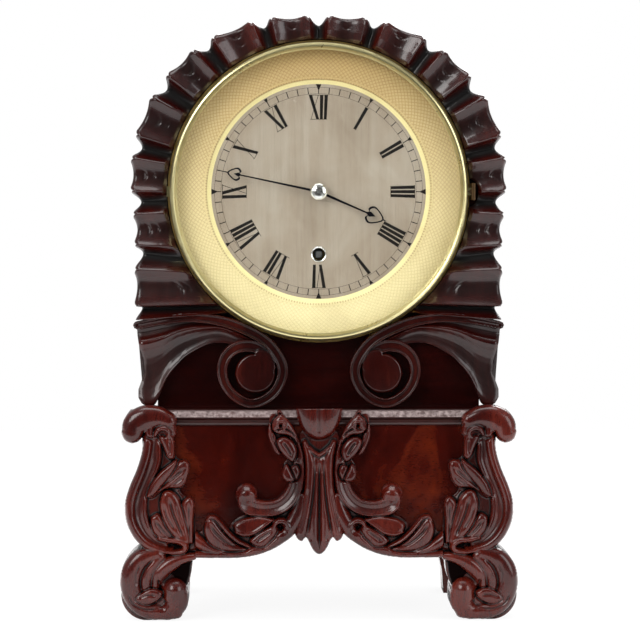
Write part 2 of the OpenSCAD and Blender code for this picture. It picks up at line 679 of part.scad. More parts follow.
module bezel() {
    r = bezel_r;
    color(gilt) {
        translate([0, 0, dial_z]) turned([[r - 3.3, bezel_back], [r - 0.4, bezel_back],
            [r, bezel_back - 0.5], [r, bezel_back - 5], [r - 0.5, bezel_top + 1.4],
            [r - 1.2, bezel_top + 0.4], [r - 2, bezel_top], [r - 2.8, bezel_top + 0.3],
            [r - 3.3, bezel_top + 1.1], [r - 3.6, bezel_top + 2.2],
            [r - 4.3, glass_edge - glass_t - 0.2], [r - 3.4, glass_edge - glass_t - 0.2]]);
        difference() {
            union() {
                translate([hinge_bx, hinge_by, dial_z - bezel_knuckle_l / 2])
                    cylinder(h = bezel_knuckle_l, r = bezel_knuckle_r);
                translate([bezel_r - 1, hinge_by - 0.9, dial_z - bezel_knuckle_l / 2])
                    cube([hinge_bx - bezel_r + 1, 1.8, bezel_knuckle_l]);
            }
            translate([hinge_bx, hinge_by, dial_z - 5]) cylinder(h = 10, r = bezel_pin_r + turn_fit);
        }
        translate([-bezel_r - 1.6, bezel_back - 4.6, dial_z - 3]) cube([2.2, 1.6, 6]);
    }
}

module bezel_glass() {
    edge_r = bezel_r - 3.55;
    front = dome(glass_in, glass_edge - glass_t, glass_rise);
    back = dome(glass_in, glass_edge, glass_rise);
    color(clear) translate([0, 0, dial_z]) turned(concat(front,
        [[edge_r, glass_edge - glass_t], [edge_r, glass_edge]], [for (i = [9:-1:0]) back[i]]));
}

module dial_plate() {
    color(silvered) at(0, 0) {
        difference() {
            slab(dial_front, dial_t) difference() {
                circle(mask_r - 1);
                circle(hour_pipe_r + 0.4);
                translate([0, -winding_drop]) circle(winding_hole_r + 0.8);
            }
        }
        for (p = foot_spots) translate([p[0], 0, p[1]]) {
            rod(1.8, board_y, plate_f);
            rod(1.1, plate_f, gap_f + 1.5);
        }
    }
}

module mask_ring() {
    color(gilt) at(0, 0) turned([[dial_r + 0.2, dial_front], [dial_r + 3, mask_front + 0.1],
        [dial_r + 3.2, mask_front - 0.3], [dial_r + 4.2, mask_front - 0.3],
        [dial_r + 4.5, mask_front], [mask_r, mask_front], [mask_r, dial_front]]);
}

module winding_collet() {
    color(silvered) at(0, -winding_drop) turned([[winding_hole_r, board_y],
        [winding_hole_r, dial_front - 0.3], [winding_hole_r + 0.4, dial_front - 0.5],
        [winding_hole_r + 0.8, dial_front - 0.2], [winding_hole_r + 0.8, board_y]]);
}

// An open heart that points along +X, with its cleft towards the centre
module heart(r) {
    outline = ring_curve([[-0.55 * r, 0], [-0.95 * r, 0.5 * r], [-0.45 * r, 0.98 * r], [0.3 * r, 0.72 * r],
        [1.1 * r, 0], [0.3 * r, -0.72 * r], [-0.45 * r, -0.98 * r], [-0.95 * r, -0.5 * r]], 3);
    difference() {
        polygon(outline);
        polygon([for (p = outline) p * (1 - 1 / r) + [0.02 * r, 0]]);
    }
}

// A hand along +X: boss, tapered shaft with a leaf in the heart, the heart and the tip
module hand(y, len, at, r, boss_r, w0, w1) {
    slab(y, hand_t) translate([at, 0]) heart(r);
    slab(y, hand_t) polygon([[0, -w0], [at - 0.95 * r, -w1], [at - 0.55 * r, -0.3 * r], [at + 0.12 * r, 0],
        [at - 0.55 * r, 0.3 * r], [at - 0.95 * r, w1], [0, w0]]);
    slab(y, hand_t) polygon([[at + r * 0.9, -w1], [len, -0.15], [len, 0.15], [at + r * 0.9, w1]]);
    rod(boss_r, y, y + hand_t);
}

hour_heart_r = 5.2;
hour_heart_at = 34.7;
module hour_hand() {
    color(blued) at(0, 0) difference() {
        rotate([0, hour_a - 90, 0])
            hand(hour_hand_y, hour_len, hour_heart_at, hour_heart_r, hour_pipe_r + 1.4, 0.8, 0.45);
        rod(hour_pipe_r, hour_hand_y - 1, hour_hand_y + 2);
    }
}

minute_heart_r = 3.9;
minute_heart_at = 48.9;
module minute_hand() {
    color(blued) at(0, 0) difference() {
        rotate([0, minute_a - 90, 0])
            hand(minute_hand_y, minute_len, minute_heart_at, minute_heart_r, cannon_r + 1.6, 0.7, 0.35);
        rod(cannon_r, minute_hand_y - 1, minute_hand_y + 2);
    }
}

module hand_collet() {
    y = minute_hand_y;
    color(steel) at(0, 0) difference() {
        turned([[0, y], [4.9, y], [4.7, y - 0.5], [3.9, y - 1.2], [2.6, y - 1.8], [1.9, y - 2], [0, y - 2]]);
        rod(centre_r + turn_fit, y - 4, y + 1);
    }
}

// The taper pin through the centre arbor's tip, grown by g
module pin_shape(g) {
    rotate([0, 35, 0]) translate([-2.6, minute_hand_y - 2.55, 0]) rotate([0, 90, 0])
        cylinder(h = 5.2, r1 = 0.45 + g, r2 = 0.3 + g);
}

module taper_pin() {
    color(steel) at(0, 0) pin_shape(0);
}

// Movement frame
plate_points = [[-plate_low_w, plate_low], [plate_low_w, plate_low], [plate_high_w, plate_high],
    [-plate_high_w, plate_high]];

module plate(y, holes) {
    at(0, 0) slab(y, plate_t) difference() {
        polygon(plate_points);
        for (h = holes) translate([h[0], h[1]]) circle(h[2]);
    }
}

pivot_r = 0.6;
big_pivot_r = 1.6;
arbor_holes = [[third_x, third_z, pivot_r + turn_fit], [0, escape_z, pivot_r + turn_fit],
    [barrel_x, barrel_z, big_pivot_r + turn_fit]];

module front_plate() {
    color(brass) plate(plate_f, concat(arbor_holes, [[0, pallet_z, pivot_r + turn_fit],
        [0, 0, centre_r + 0.3 + turn_fit], [0, -winding_drop, 2.5 + turn_fit]],
        [for (p = foot_spots) [p[0], p[1], 1.1 + turn_fit]], [for (p = pillar_spots) [p[0], p[1], 1.7]]));
}

module back_plate() {
    color(brass) plate(gap_b, concat(arbor_holes, [[0, pallet_z, 2.2], [0, 0, pivot_r + turn_fit],
        [0, -winding_drop, big_pivot_r + turn_fit]], [for (p = pillar_spots) [p[0], p[1], 1.7]]));
}

// Turned pillars with their pinned ends
module pillars() {
    m = plate_gap;
    color(brass) at(0, 0) for (p = pillar_spots) translate([p[0], 0, p[1]]) {
        turned([for (q = [[0, -plate_t - 2], [1.7, -plate_t - 2], [1.7, 0], [4, 0], [4, 1.6], [3, 2.4],
            [3.6, 4], [2.4, 5.4], [2.6, m / 2 - 2.5], [3.8, m / 2], [2.6, m / 2 + 2.5], [2.4, m - 5.4],
            [3.6, m - 4], [3, m - 2.4], [4, m - 1.6], [4, m], [1.7, m], [1.7, m + plate_t + 0.4],
            [0, m + plate_t + 0.4]]) [q[0], gap_f + q[1]]]);
        translate([-3.4, plate_f - 0.9, 0]) rotate([0, 90, 0]) cylinder(h = 6.8, r1 = 0.55, r2 = 0.4);
    }
}

// Going train
module great_wheel() {
    color(brass) at(0, -winding_drop) {
        slab(great_y, great_t)
            crossed(wheel_outline(great_teeth, great_module, 90), 28.5, 17.5, 2.5 + turn_fit, 5, 4);
        rotate([0, 60, 0]) translate([click_x, 0, 0])
            rod(click_pin_r, great_y - ratchet_t - 0.1, great_y + 1);
    }
}

ratchet_r = 12;
ratchet_teeth = 24;
click_x = ratchet_r + 2.4;
click_pin_r = 0.9;
module great_click() {
    color(steel) at(0, -winding_drop) rotate([0, 60, 0])
        slab(great_y - ratchet_t, ratchet_t - 0.15) difference() {
            union() {
                translate([click_x, 0]) circle(2);
                polygon([[ratchet_r + 0.9, 1], [ratchet_r + 3.6, 1.6], [ratchet_r + 1.2, 7.4],
                    [ratchet_r - 1.5, 6.2]]);
            }
            translate([click_x, 0]) circle(click_pin_r + turn_fit);
        }
}

function fusee_radius(t) = 1 / mix(1 / fusee_r, 1 / fusee_small_r, t);
module fusee() {
    pitch = (fusee_l - 3) / fusee_turns;
    grooves = [for (i = [0:fusee_turns - 1])
        let (y = fusee_back - 1.6 - i * pitch, r = fusee_radius((i + 0.5) / fusee_turns))
            each [[r, y - 0.08], [r - 0.55, y - pitch * 0.35], [r - 0.55, y - pitch * 0.65],
                [r, y - pitch * 0.92]]];
    rim = fusee_small_r + 1.4;
    color(brass) at(0, -winding_drop) turned(concat([[2.5, fusee_back], [fusee_r + 1, fusee_back],
        [fusee_r + 1, fusee_back - 1.4]], grooves,
        [[rim, fusee_front + 1.2], [rim, fusee_front], [2.5, fusee_front]]));
    color(steel) at(0, -winding_drop) slab(ratchet_y, ratchet_t) difference() {
        polygon([for (i = [0:ratchet_teeth - 1]) let (a = i * 360 / ratchet_teeth)
            each [ratchet_r * [cos(a), sin(a)], (ratchet_r - 1.6) * [cos(a + 2), sin(a + 2)]]]);
        circle(2.5);
    }
}

square_w = 3.2;
module fusee_arbor() {
    color(steel) at(0, -winding_drop) {
        rod(2.5, plate_f - 0.5, great_y + great_t + 0.4);
        rod(big_pivot_r, great_y + great_t + 0.4, plate_b);
        translate([-square_w / 2, dial_front + 0.5, -square_w / 2])
            cube([square_w, plate_f - dial_front - 1, square_w]);
    }
}

barrel_wall = 1.2;
module barrel() {
    color(brass) at(barrel_x, barrel_z) turned([[4 + turn_fit, barrel_front], [barrel_r, barrel_front],
        [barrel_r, barrel_back], [4 + turn_fit, barrel_back], [4 + turn_fit, barrel_back - barrel_wall],
        [barrel_r - barrel_wall, barrel_back - barrel_wall],
        [barrel_r - barrel_wall, barrel_front + barrel_wall], [4 + turn_fit, barrel_front + barrel_wall]]);
}

module barrel_arbor() {
    color(steel) at(barrel_x, barrel_z) {
        rod(big_pivot_r, plate_f, barrel_front - 1);
        rod(4, barrel_front - 1, barrel_back + 1);
        rod(big_pivot_r, barrel_back + 1, plate_b + 3);
        slab(plate_b + 0.3, 1.5) polygon([for (i = [0:15]) let (a = i * 22.5)
            each [8 * [cos(a), sin(a)], 6.6 * [cos(a + 3), sin(a + 3)]]]);
    }
}

module barrel_click() {
    color(steel) at(barrel_x, barrel_z) slab(plate_b, 1.6)
        polygon([[8.6, -1], [12.5, -2.5], [14, 6], [11, 9.4], [8.2, 9], [9.4, 5]]);
    color(steel) at(barrel_x + 12, barrel_z + 5) rod(2, plate_b + 1.6, plate_b + 2.6);
}

spring_t = 0.55;
spring_turns = 7;
module mainspring() {
    r0 = 4.6;
    r1 = barrel_r - barrel_wall - 0.4;
    steps = 18 * spring_turns;
    function arm(off) = [for (i = [0:steps])
        let (t = i / steps, a = 360 * spring_turns * t, r = mix(r0, r1 - spring_t, t) + off)
            r * [cos(a), sin(a)]];
    outer = arm(spring_t);
    color(steel) at(barrel_x, barrel_z)
        slab(barrel_front + barrel_wall + 0.4, barrel_l - 2 * barrel_wall - 0.8)
            polygon(concat(arm(0), [for (i = [steps:-1:0]) outer[i]]));
}

// The gut line leaves the barrel and lies along the tangent to the fusee, with turns on both
line_sides = 8;
wrap_gap = 0.2;
line_y = fusee_back - 1.6 - fusee_l / 2;
line_pitch = 2 * line_r + 0.3;
function line_offset(x, z, r, a) = [x + r * cos(a), z + r * sin(a)];
fusee_run_r = fusee_radius(0.55) + line_r + wrap_gap;
barrel_run_r = barrel_r + line_r + wrap_gap;
run_dx = -barrel_x;
run_dz = -winding_drop - barrel_z;
run_base = atan2(run_dz, run_dx);
run_dist = norm([run_dx, run_dz]);
run_a = run_base + acos((barrel_run_r - fusee_run_r) / run_dist); // direction of the tangent points
line_path = concat(
    [for (i = [0:72]) let (a = run_a + 720 - 10 * i, y = line_y - line_pitch * 2 * (1 - i / 72))
        [barrel_x + barrel_run_r * cos(a), y, barrel_z + barrel_run_r * sin(a)]],
    [for (i = [0:20]) let (a = run_a - 10.5 * i)
        [fusee_run_r * cos(a), line_y, -winding_drop + fusee_run_r * sin(a)]]);
module gut_line() {
    n = len(line_path);
    rings = [for (i = [0:n - 1])
        let (d = line_path[min(i + 1, n - 1)] - line_path[max(i - 1, 0)], t = d / norm(d),
            u = cross(t, [0, 1, 0]) / norm(cross(t, [0, 1, 0])), v = cross(t, u))
            [for (j = [0:line_sides - 1]) let (a = j * 360 / line_sides)
                line_path[i] + line_r * (cos(a) * u + sin(a) * v)]];
    color([0.75, 0.65, 0.45]) at(0, 0) loft(rings);
}

// Phases that bring each pair into mesh along its line of centres
centre_pinion_phase = -90 + 180 / centre_leaves;
third_pinion_phase = third_a + 180 + 180 / train_leaves;
escape_pinion_phase = escape_a + 180 + 180 / train_leaves;

module centre_arbor() {
    color(steel) at(0, 0) {
        difference() {
            rod(centre_r, minute_hand_y - 3.2, plate_f);
            pin_shape(0.03);
        }
        rod(centre_r + 0.3, plate_f, gap_f + 0.3);
        rod(1.5, gap_f + 0.3, great_y - 1.5);
        slab(great_y - 1.5, great_t + 3)
            polygon(pinion_outline(centre_leaves, great_module, centre_pinion_phase));
        rod(pivot_r, great_y + great_t + 1.5, plate_b);
    }
}

module centre_wheel() {
    color(brass) at(0, 0) slab(centre_wheel_y, wheel_t)
        crossed(wheel_outline(centre_teeth, centre_module, third_a), 21.8, 4, 1.5, 4, 2.6);
}

module third_arbor() {
    color(steel) at(third_x, third_z) {
        rod(pivot_r, plate_f, gap_f + 0.3);
        slab(gap_f + 0.3, 5) polygon(pinion_outline(train_leaves, centre_module, third_pinion_phase));
        rod(1.2, gap_f + 5.3, gap_b - 0.3);
        rod(pivot_r, gap_b - 0.3, plate_b);
    }
}

module third_wheel() {
    color(brass) at(third_x, third_z) slab(third_wheel_y, wheel_t)
        crossed(wheel_outline(third_teeth, third_module, escape_a), 18, 3.4, 1.2, 4, 2.2);
}

module escape_arbor() {
    color(steel) at(0, escape_z) {
        rod(pivot_r, plate_f, gap_f + 0.3);
        rod(1.1, gap_f + 0.3, third_wheel_y - 2);
        slab(third_wheel_y - 2, 5) polygon(pinion_outline(train_leaves, third_module, escape_pinion_phase));
        rod(1.1, third_wheel_y + 3, gap_b - 0.3);
        rod(pivot_r, gap_b - 0.3, plate_b);
    }
}

escape_phase = 90;
module escape_wheel() {
    n = escape_teeth;
    outline = [for (i = [0:n - 1]) let (a = escape_phase + i * 360 / n)
        each [escape_r * [cos(a), sin(a)], (escape_r - 3.2) * [cos(a + 2.5), sin(a + 2.5)],
            (escape_r - 3.2) * [cos(a + 9.5), sin(a + 9.5)]]];
    color(brass) at(0, escape_z) slab(escape_wheel_y, wheel_t)
        crossed(outline, escape_r - 4.4, 3, 1.1, 4, 1.6);
}

// Recoil anchor: its pallets stand just outside the wheel's tips at rest
pallet_gap = 0.25;
module anchor() {
    span = 45;
    drop = pallet_z - escape_z;
    r = escape_r + pallet_gap;
    function tip(s, out) = [s * (r + out) * sin(span), (r + out) * cos(span) - drop];
    color(steel) at(0, pallet_z) difference() {
        union() {
            rod(3, escape_wheel_y - 0.8, escape_wheel_y + wheel_t + 0.8);
            for (s = [-1, 1]) slab(escape_wheel_y - 0.8, wheel_t + 1.6)
                polygon([[s * 1.4, 1.6], [s * 9, -2.6], tip(s, 3.2) + [s * 1.2, 0.6],
                    tip(s, 0) + [s * 0.3, -0.2], tip(s, 0) + [-s * 0.3, 0.35],
                    tip(s, 2.4) + [-s * 1.2, 1.2], [s * 1.6, -2]]);
        }
        rod(pivot_r + 0.6, escape_wheel_y - 2, escape_wheel_y + wheel_t + 2);
    }
}

crutch_y = plate_b + 3;
crutch_low = pallet_z - 46;
rod_r = 1.25;
module pallet_arbor() {
    color(steel) at(0, pallet_z) {
        rod(pivot_r, plate_f, gap_f + 0.4);
        rod(pivot_r + 0.6, gap_f + 0.4, plate_b + 7.4);
        rod(pivot_r, plate_b + 7.4, plate_b + 10);
        slab(crutch_y, 1.5) polygon([[-2.4, -2.4], [2.4, -2.4], [2.4, 2.4], [-2.4, 2.4]]);
        slab(crutch_y, 1.5) polygon([[-1, 0], [1, 0], [0.8, -45], [-0.8, -45]]);
        for (s = [-1, 1]) translate([s * (rod_r + 0.75), 0, -46.2]) rod(0.6, crutch_y, pendulum_y + 3);
        slab(crutch_y, 1.5) translate([-2.8, -47.6]) square([5.6, 2.8]);
    }
}

// Cock on the back plate that carries the pallet arbor and the pendulum
module back_cock() {
    y = plate_b;
    color(brass) at(0, pallet_z) {
        difference() {
            union() {
                for (s = [-1, 1]) slab(y, 10) translate([s * 11 - 2, -6]) square([4, 12]);
                slab(y + 7.6, 2.4) translate([-13, -6]) square([26, 12]);
                slab(y + 10, 5.5) translate([-4.5, -4]) square([9, 8]);
                for (s = [-1, 1]) slab(y, 2) translate([s * 13 - 2, -6]) square([4, 12]);
            }
            rod(pivot_r + turn_fit, y + 5, y + 10.2);
            translate([-1.7, y + 10.2, -5]) cube([3.4, 6, 10]);
        }
    }
    color(steel) at(0, pallet_z) for (s = [-1, 1]) translate([s * 14, 0, 0]) rod(1.6, y + 2, y + 3);
}

// Spring strip with its brass block, which lies in the slot of the cock
module suspension_spring() {
    color(steel) at(0, pallet_z) {
        translate([-1.45, pendulum_y - 1.6, -1.4]) cube([2.9, 3.2, 2.8]);
        translate([-0.15, pendulum_y - 1.4, -9]) cube([0.3, 2.8, 8]);
    }
}

bob_z = suspension_z - pendulum_l;
nut_h = 4;
rod_low = bob_z - bob_r - nut_h - 7;
module pendulum_rod() {
    color(steel) {
        translate([0, pendulum_y, rod_low]) cylinder(h = suspension_z - 12 - rod_low, r = rod_r);
        translate([-1.5, pendulum_y - 1.4, suspension_z - 13]) difference() {
            cube([3, 2.8, 6]);
            translate([1.35, -1, 3.9]) cube([0.3, 5, 3]);
        }
    }
}

module pendulum_bob() {
    half = [[bob_r, 0.8], [bob_r * 0.92, bob_t * 0.2], [bob_r * 0.7, bob_t * 0.36],
        [bob_r * 0.35, bob_t / 2 - 0.3], [0, bob_t / 2]];
    color(brass) difference() {
        translate([0, pendulum_y, bob_z])
            turned(concat([for (i = [len(half) - 1:-1:0]) [half[i][0], -half[i][1]]], half));
        translate([0, pendulum_y, bob_z - bob_r - 1]) cylinder(h = 2 * bob_r + 2, r = rod_r + turn_fit);
    }
}

module rating_nut() {
    z = bob_z - bob_r - nut_h - 0.1;
    color(brass) translate([0, pendulum_y, z]) difference() {
        union() {
            cylinder(h = nut_h * 0.5, r = 4.6);
            translate([0, 0, nut_h * 0.5]) cylinder(h = nut_h * 0.5, r = 2.6);
        }
        translate([0, 0, -1]) cylinder(h = nut_h + 2, r = rod_r + turn_fit);
    }
}

// Motion work behind the dial
function motion_outline(phase) = teeth(cannon_teeth, motion_module * (cannon_teeth / 2 - 1.2),
    motion_module * (cannon_teeth / 2 + 0.75), 0.5, 0.2, phase);

module cannon_pinion() {
    color(brass) at(0, 0) difference() {
        union() {
            slab(cannon_y - motion_t, motion_t) polygon(motion_outline(motion_a));
            rod(cannon_r, minute_hand_y, cannon_y + 1);
        }
        rod(centre_r + turn_fit, minute_hand_y - 1, cannon_y + 2);
    }
}

module minute_wheel() {
    color(brass) at(motion_dist * cos(motion_a), motion_dist * sin(motion_a)) {
        difference() {
            union() {
                slab(cannon_y - motion_t, motion_t)
                    polygon(motion_outline(motion_a + 180 + 180 / cannon_teeth));
                slab(hour_wheel_y - motion_t - 0.6, cannon_y - hour_wheel_y + 0.6)
                    polygon(pinion_outline(minute_leaves, hour_module, motion_a + 180 + 180 / minute_leaves));
            }
            rod(0.5 + turn_fit, hour_wheel_y - 4, cannon_y + 1);
        }
    }
}

module hour_wheel() {
    color(brass) at(0, 0) {
        difference() {
            union() {
                slab(hour_wheel_y - motion_t, motion_t) crossed(wheel_outline(hour_teeth, hour_module,
                    motion_a), 13, 4.4, hour_pipe_r - 0.2, 4, 2);
                rod(hour_pipe_r, hour_hand_y, hour_wheel_y);
            }
            rod(bridge_pipe_r + turn_fit, hour_hand_y - 1, hour_wheel_y + 1);
        }
    }
}

// Bridge that carries the hour pipe, with its screws, and the minute wheel's stud
module hour_bridge() {
    foot = 13;
    color(brass) at(0, 0) difference() {
        union() {
            slab(bridge_y - bridge_t, bridge_t) {
                translate([-2.6, -foot - 2.4]) square([5.2, 2 * foot + 4.8]);
                circle(4);
            }
            for (s = [-1, 1]) translate([0, 0, s * foot]) rod(2.4, bridge_y, plate_f);
            rod(bridge_pipe_r, hour_hand_y + 0.8, bridge_y);
        }
        rod(cannon_r + turn_fit, hour_hand_y - 2, bridge_y + 1);
    }
    color(steel) at(0, 0) for (s = [-1, 1]) translate([0, 0, s * foot])
        rod(1.5, bridge_y - bridge_t - 0.5, bridge_y - bridge_t);
    color(steel) at(motion_dist * cos(motion_a), motion_dist * sin(motion_a))
        rod(0.5, hour_wheel_y - 2.4, plate_f);
}

front_board();
carved_surround();
volute_left();
volute_right();
case_shell();
seat_board();
seat_rails();
base_carcass();
base_top();
base_panel();
console_left();
console_right();
apron_left();
apron_right();
centre_drop();
rear_feet();
back_door();
door_glass();
door_hinges();
door_button();
door_keeper();
bezel_seat();
bezel();
bezel_glass();
dial_plate();
mask_ring();
winding_collet();
hour_hand();
minute_hand();
hand_collet();
taper_pin();
front_plate();
back_plate();
pillars();
great_wheel();
great_click();
fusee();
fusee_arbor();
barrel();
barrel_arbor();
barrel_click();
mainspring();
gut_line();
centre_arbor();
centre_wheel();
third_arbor();
third_wheel();
escape_arbor();
escape_wheel();
pallet_arbor();
anchor();
back_cock();
suspension_spring();
pendulum_rod();
pendulum_bob();
rating_nut();
cannon_pinion();
minute_wheel();
hour_wheel();
hour_bridge();
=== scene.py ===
import math

import bpy
import numpy as np
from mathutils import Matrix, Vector


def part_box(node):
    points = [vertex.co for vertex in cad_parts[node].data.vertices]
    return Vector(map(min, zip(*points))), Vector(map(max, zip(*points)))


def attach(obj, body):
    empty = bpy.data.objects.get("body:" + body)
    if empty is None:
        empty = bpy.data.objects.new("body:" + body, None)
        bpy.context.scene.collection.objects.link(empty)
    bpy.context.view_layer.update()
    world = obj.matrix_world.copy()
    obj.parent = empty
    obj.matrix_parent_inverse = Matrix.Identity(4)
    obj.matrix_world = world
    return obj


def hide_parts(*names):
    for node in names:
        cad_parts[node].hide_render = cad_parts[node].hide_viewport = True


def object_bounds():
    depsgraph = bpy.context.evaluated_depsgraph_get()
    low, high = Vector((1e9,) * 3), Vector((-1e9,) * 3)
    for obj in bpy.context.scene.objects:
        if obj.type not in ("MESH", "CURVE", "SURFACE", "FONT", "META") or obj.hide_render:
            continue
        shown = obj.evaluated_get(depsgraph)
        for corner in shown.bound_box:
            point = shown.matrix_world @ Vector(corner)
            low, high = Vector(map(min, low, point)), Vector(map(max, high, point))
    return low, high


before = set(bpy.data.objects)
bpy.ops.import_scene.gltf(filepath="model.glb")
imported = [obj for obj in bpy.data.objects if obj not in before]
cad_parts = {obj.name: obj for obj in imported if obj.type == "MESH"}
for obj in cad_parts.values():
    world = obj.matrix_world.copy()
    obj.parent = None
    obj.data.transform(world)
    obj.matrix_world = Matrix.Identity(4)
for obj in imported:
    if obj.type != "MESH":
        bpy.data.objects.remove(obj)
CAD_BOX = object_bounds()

# Carved mantel timepiece: the finish of every surface and the carving in full detail.
# Positions are in millimetres here and in metres on the objects, in the frame of the model.
MM = 0.001

# The pieces that the carving and the dial sit on
DIAL_LOW, DIAL_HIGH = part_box("dial_plate")
DIAL_Z = (DIAL_LOW[2] + DIAL_HIGH[2]) / 2 / MM
DIAL_Y = DIAL_LOW[1] / MM
BASE_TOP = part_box("base_top")[1][2] / MM
BOARD_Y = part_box("front_board")[0][1] / MM
PANEL_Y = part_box("base_panel")[0][1] / MM
FRONT_Y = CAD_BOX[0][1] / MM
CARCASS_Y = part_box("base_carcass")[0][1] / MM
CARCASS_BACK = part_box("base_carcass")[1][1] / MM
CARCASS_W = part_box("base_carcass")[1][0] / MM
CARCASS_LOW, CARCASS_TOP = (corner[2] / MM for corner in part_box("base_carcass"))
# Metal of the bezel beyond this x belongs to its hinge
KNUCKLE_X = 85.4


def scaled(values, factor):
    return tuple(v * factor for v in values)


# Nodes of a material

class Tree:
    """Short calls that add nodes to a node tree."""

    def __init__(self, owner):
        owner.use_nodes = True
        self.tree = owner.node_tree
        self.tree.nodes.clear()

    def feed(self, socket, value):
        """Gives a socket a number, a vector, a colour or the output of another node."""
        if isinstance(value, bpy.types.NodeSocket):
            self.tree.links.new(value, socket)
        else:
            socket.default_value = (*value, 1) if socket.type == "RGBA" and len(value) == 3 else value

    def node(self, kind, inputs=(), **settings):
        """A new node with settings; inputs is a list of (socket, value or output)."""
        made = self.tree.nodes.new(kind)
        for key, value in settings.items():
            setattr(made, key, value)
        for socket, value in inputs:
            self.feed(made.inputs[socket], value)
        return made

    def math(self, operation, a, b=0.0):
        return self.node("ShaderNodeMath", [(0, a), (1, b)], operation=operation).outputs[0]

    def times(self, a, b):
        return self.math("MULTIPLY", a, b)

    def plus(self, a, b):
        return self.math("ADD", a, b)

    def span(self, factor, low, high, low_in=0.0, high_in=1.0, kind="LINEAR"):
        """Maps a factor from low_in and high_in to low and high."""
        return self.node("ShaderNodeMapRange", [("Value", factor), ("From Min", low_in), ("From Max", high_in),
                                                ("To Min", low), ("To Max", high)], interpolation_type=kind).outputs[0]

    def axes(self, vector):
        return self.node("ShaderNodeSeparateXYZ", [(0, vector)]).outputs

    def either(self, factor, a, b):
        """The first shader where the factor is 0 and the second where it is 1."""
        return self.node("ShaderNodeMixShader", [(0, factor), (1, a.outputs[0]), (2, b.outputs[0])])


class Shader(Tree):
    """A Principled material with short calls for the nodes that feed it."""

    def __init__(self, name):
        self.material = bpy.data.materials.new(name)
        super().__init__(self.material)
        self.body = self.node("ShaderNodeBsdfPrincipled")
        self.output = self.node("ShaderNodeOutputMaterial", [(0, self.body.outputs[0])])
        self.place = self.node("ShaderNodeTexCoord").outputs["Object"]

    def set(self, **values):
        for name, value in values.items():
            self.feed(self.body.inputs[name.replace("_", " ")], value)

    def shows(self, shader):
        """Puts another shader in the place of the Principled one."""
        self.tree.nodes.remove(self.body)
        self.feed(self.output.inputs[0], shader.outputs[0])

    def stretched(self, scale, turn=(0, 0, 0)):
        return self.node("ShaderNodeMapping", [(0, self.place), ("Scale", scale), ("Rotation", turn)]).outputs[0]

    def noise(self, vector, scale, detail=4.0, rough=0.55, twist=0.0):
        return self.node("ShaderNodeTexNoise", [("Vector", vector), ("Scale", scale), ("Detail", detail),
                                                ("Roughness", rough), ("Distortion", twist)]).outputs["Fac"]

    def ramp(self, factor, stops):
        """Colours along a factor; stops is a list of (place, colour)."""
        made = self.node("ShaderNodeValToRGB", [(0, factor)])
        table = made.color_ramp.elements
        while len(table) < len(stops):
            table.new(0.5)
        for slot, (place, colour) in zip(table, stops):
            slot.position = place
            slot.color = (*colour, 1)
        return made.outputs[0]

    def blend(self, factor, a, b):
        return self.node("ShaderNodeMix", [(0, factor), (6, a), (7, b)], data_type="RGBA").outputs[2]

    def bump(self, height, strength, distance):
        made = self.node("ShaderNodeBump", [("Height", height), ("Strength", strength), ("Distance", distance)])
        self.set(Normal=made.outputs[0])

    def hollow(self):
        """How deep a point of the carving lies below its surroundings, 0 at a mean height, plus painted shade; the
        mahogany darkens by it as painted shade.
        """
        return self.node("ShaderNodeAttribute", attribute_name="hollow").outputs["Fac"]


def mahogany(name, dark, mid, light, along=(1, 1, 0.12), figure=0.0, gloss=0.2, coat=0.28, dust_and_sheen_above=None):
    """French polished mahogany: soft figure, fine pores along the grain, and painted shade in the hollows."""
    s = Shader(name)
    grain = s.stretched(along)
    broad = s.noise(grain, 34, 5, 0.6, 1.2)
    fine = s.noise(grain, 420, 3, 0.6, 0.3)
    pores = s.noise(s.stretched(scaled(along, 2.4)), 700, 2, 0.5)
    cloud = s.noise(s.place, 16, 3, 0.5)
    tone = s.plus(s.plus(s.times(broad, 0.55), s.times(fine, 0.22)), s.times(cloud, 0.34))
    if figure:
        flame = s.noise(s.stretched((1, 1, 0.7), (0, 0.5, 0)), 34, 3, 0.5, 1.0)
        tone = s.plus(s.times(tone, 1 - figure), s.times(flame, figure * 1.12))
    colour = s.ramp(tone, [(0.36, dark), (0.56, mid), (0.76, light)])
    # Painted shade: the colour turns near black in the hollows of the carving
    deep = s.span(s.hollow(), 0, 1, 0.02, 0.5)
    colour = s.blend(deep, colour, scaled(dark, 0.15))
    rubbed = s.span(s.hollow(), 0, 0.08, -0.1, -0.6)
    colour = s.blend(rubbed, colour, scaled(light, 1.3))
    colour = s.blend(s.span(pores, 0.5, 0, 0.3, 0.46), colour, scaled(dark, 0.3))
    if dust_and_sheen_above:
        # Greyish dust and a painted sheen of light from above lie above that height, and only near the front edge
        _, y, z = s.axes(s.place)
        dust_and_sheen_zone = s.times(s.math("GREATER_THAN", z, dust_and_sheen_above * MM), s.span(y, 1, 0, PANEL_Y * MM, (PANEL_Y + 9) * MM))
        grit = s.noise(s.place, 420, 3, 0.7)
        colour = s.blend(s.times(dust_and_sheen_zone, s.span(grit, 0.2, 0.9, 0.38, 0.62)), colour, (0.26, 0.205, 0.20))
    wear = s.noise(s.place, 60, 4, 0.6)
    shine = s.span(s.hollow(), 1, 0.04, 0.35, 1.3)
    s.set(Base_Color=colour, IOR=1.5, Specular_IOR_Level=s.times(shine, 0.3),
          Roughness=s.plus(s.span(wear, gloss, gloss + 0.16), s.times(deep, 0.35)),
          Coat_Roughness=0.07, Coat_Weight=s.times(shine, coat))
    s.bump(s.plus(s.times(pores, 0.5), s.noise(s.place, 130, 3)), 0.35, 0.00025)
    return s.material


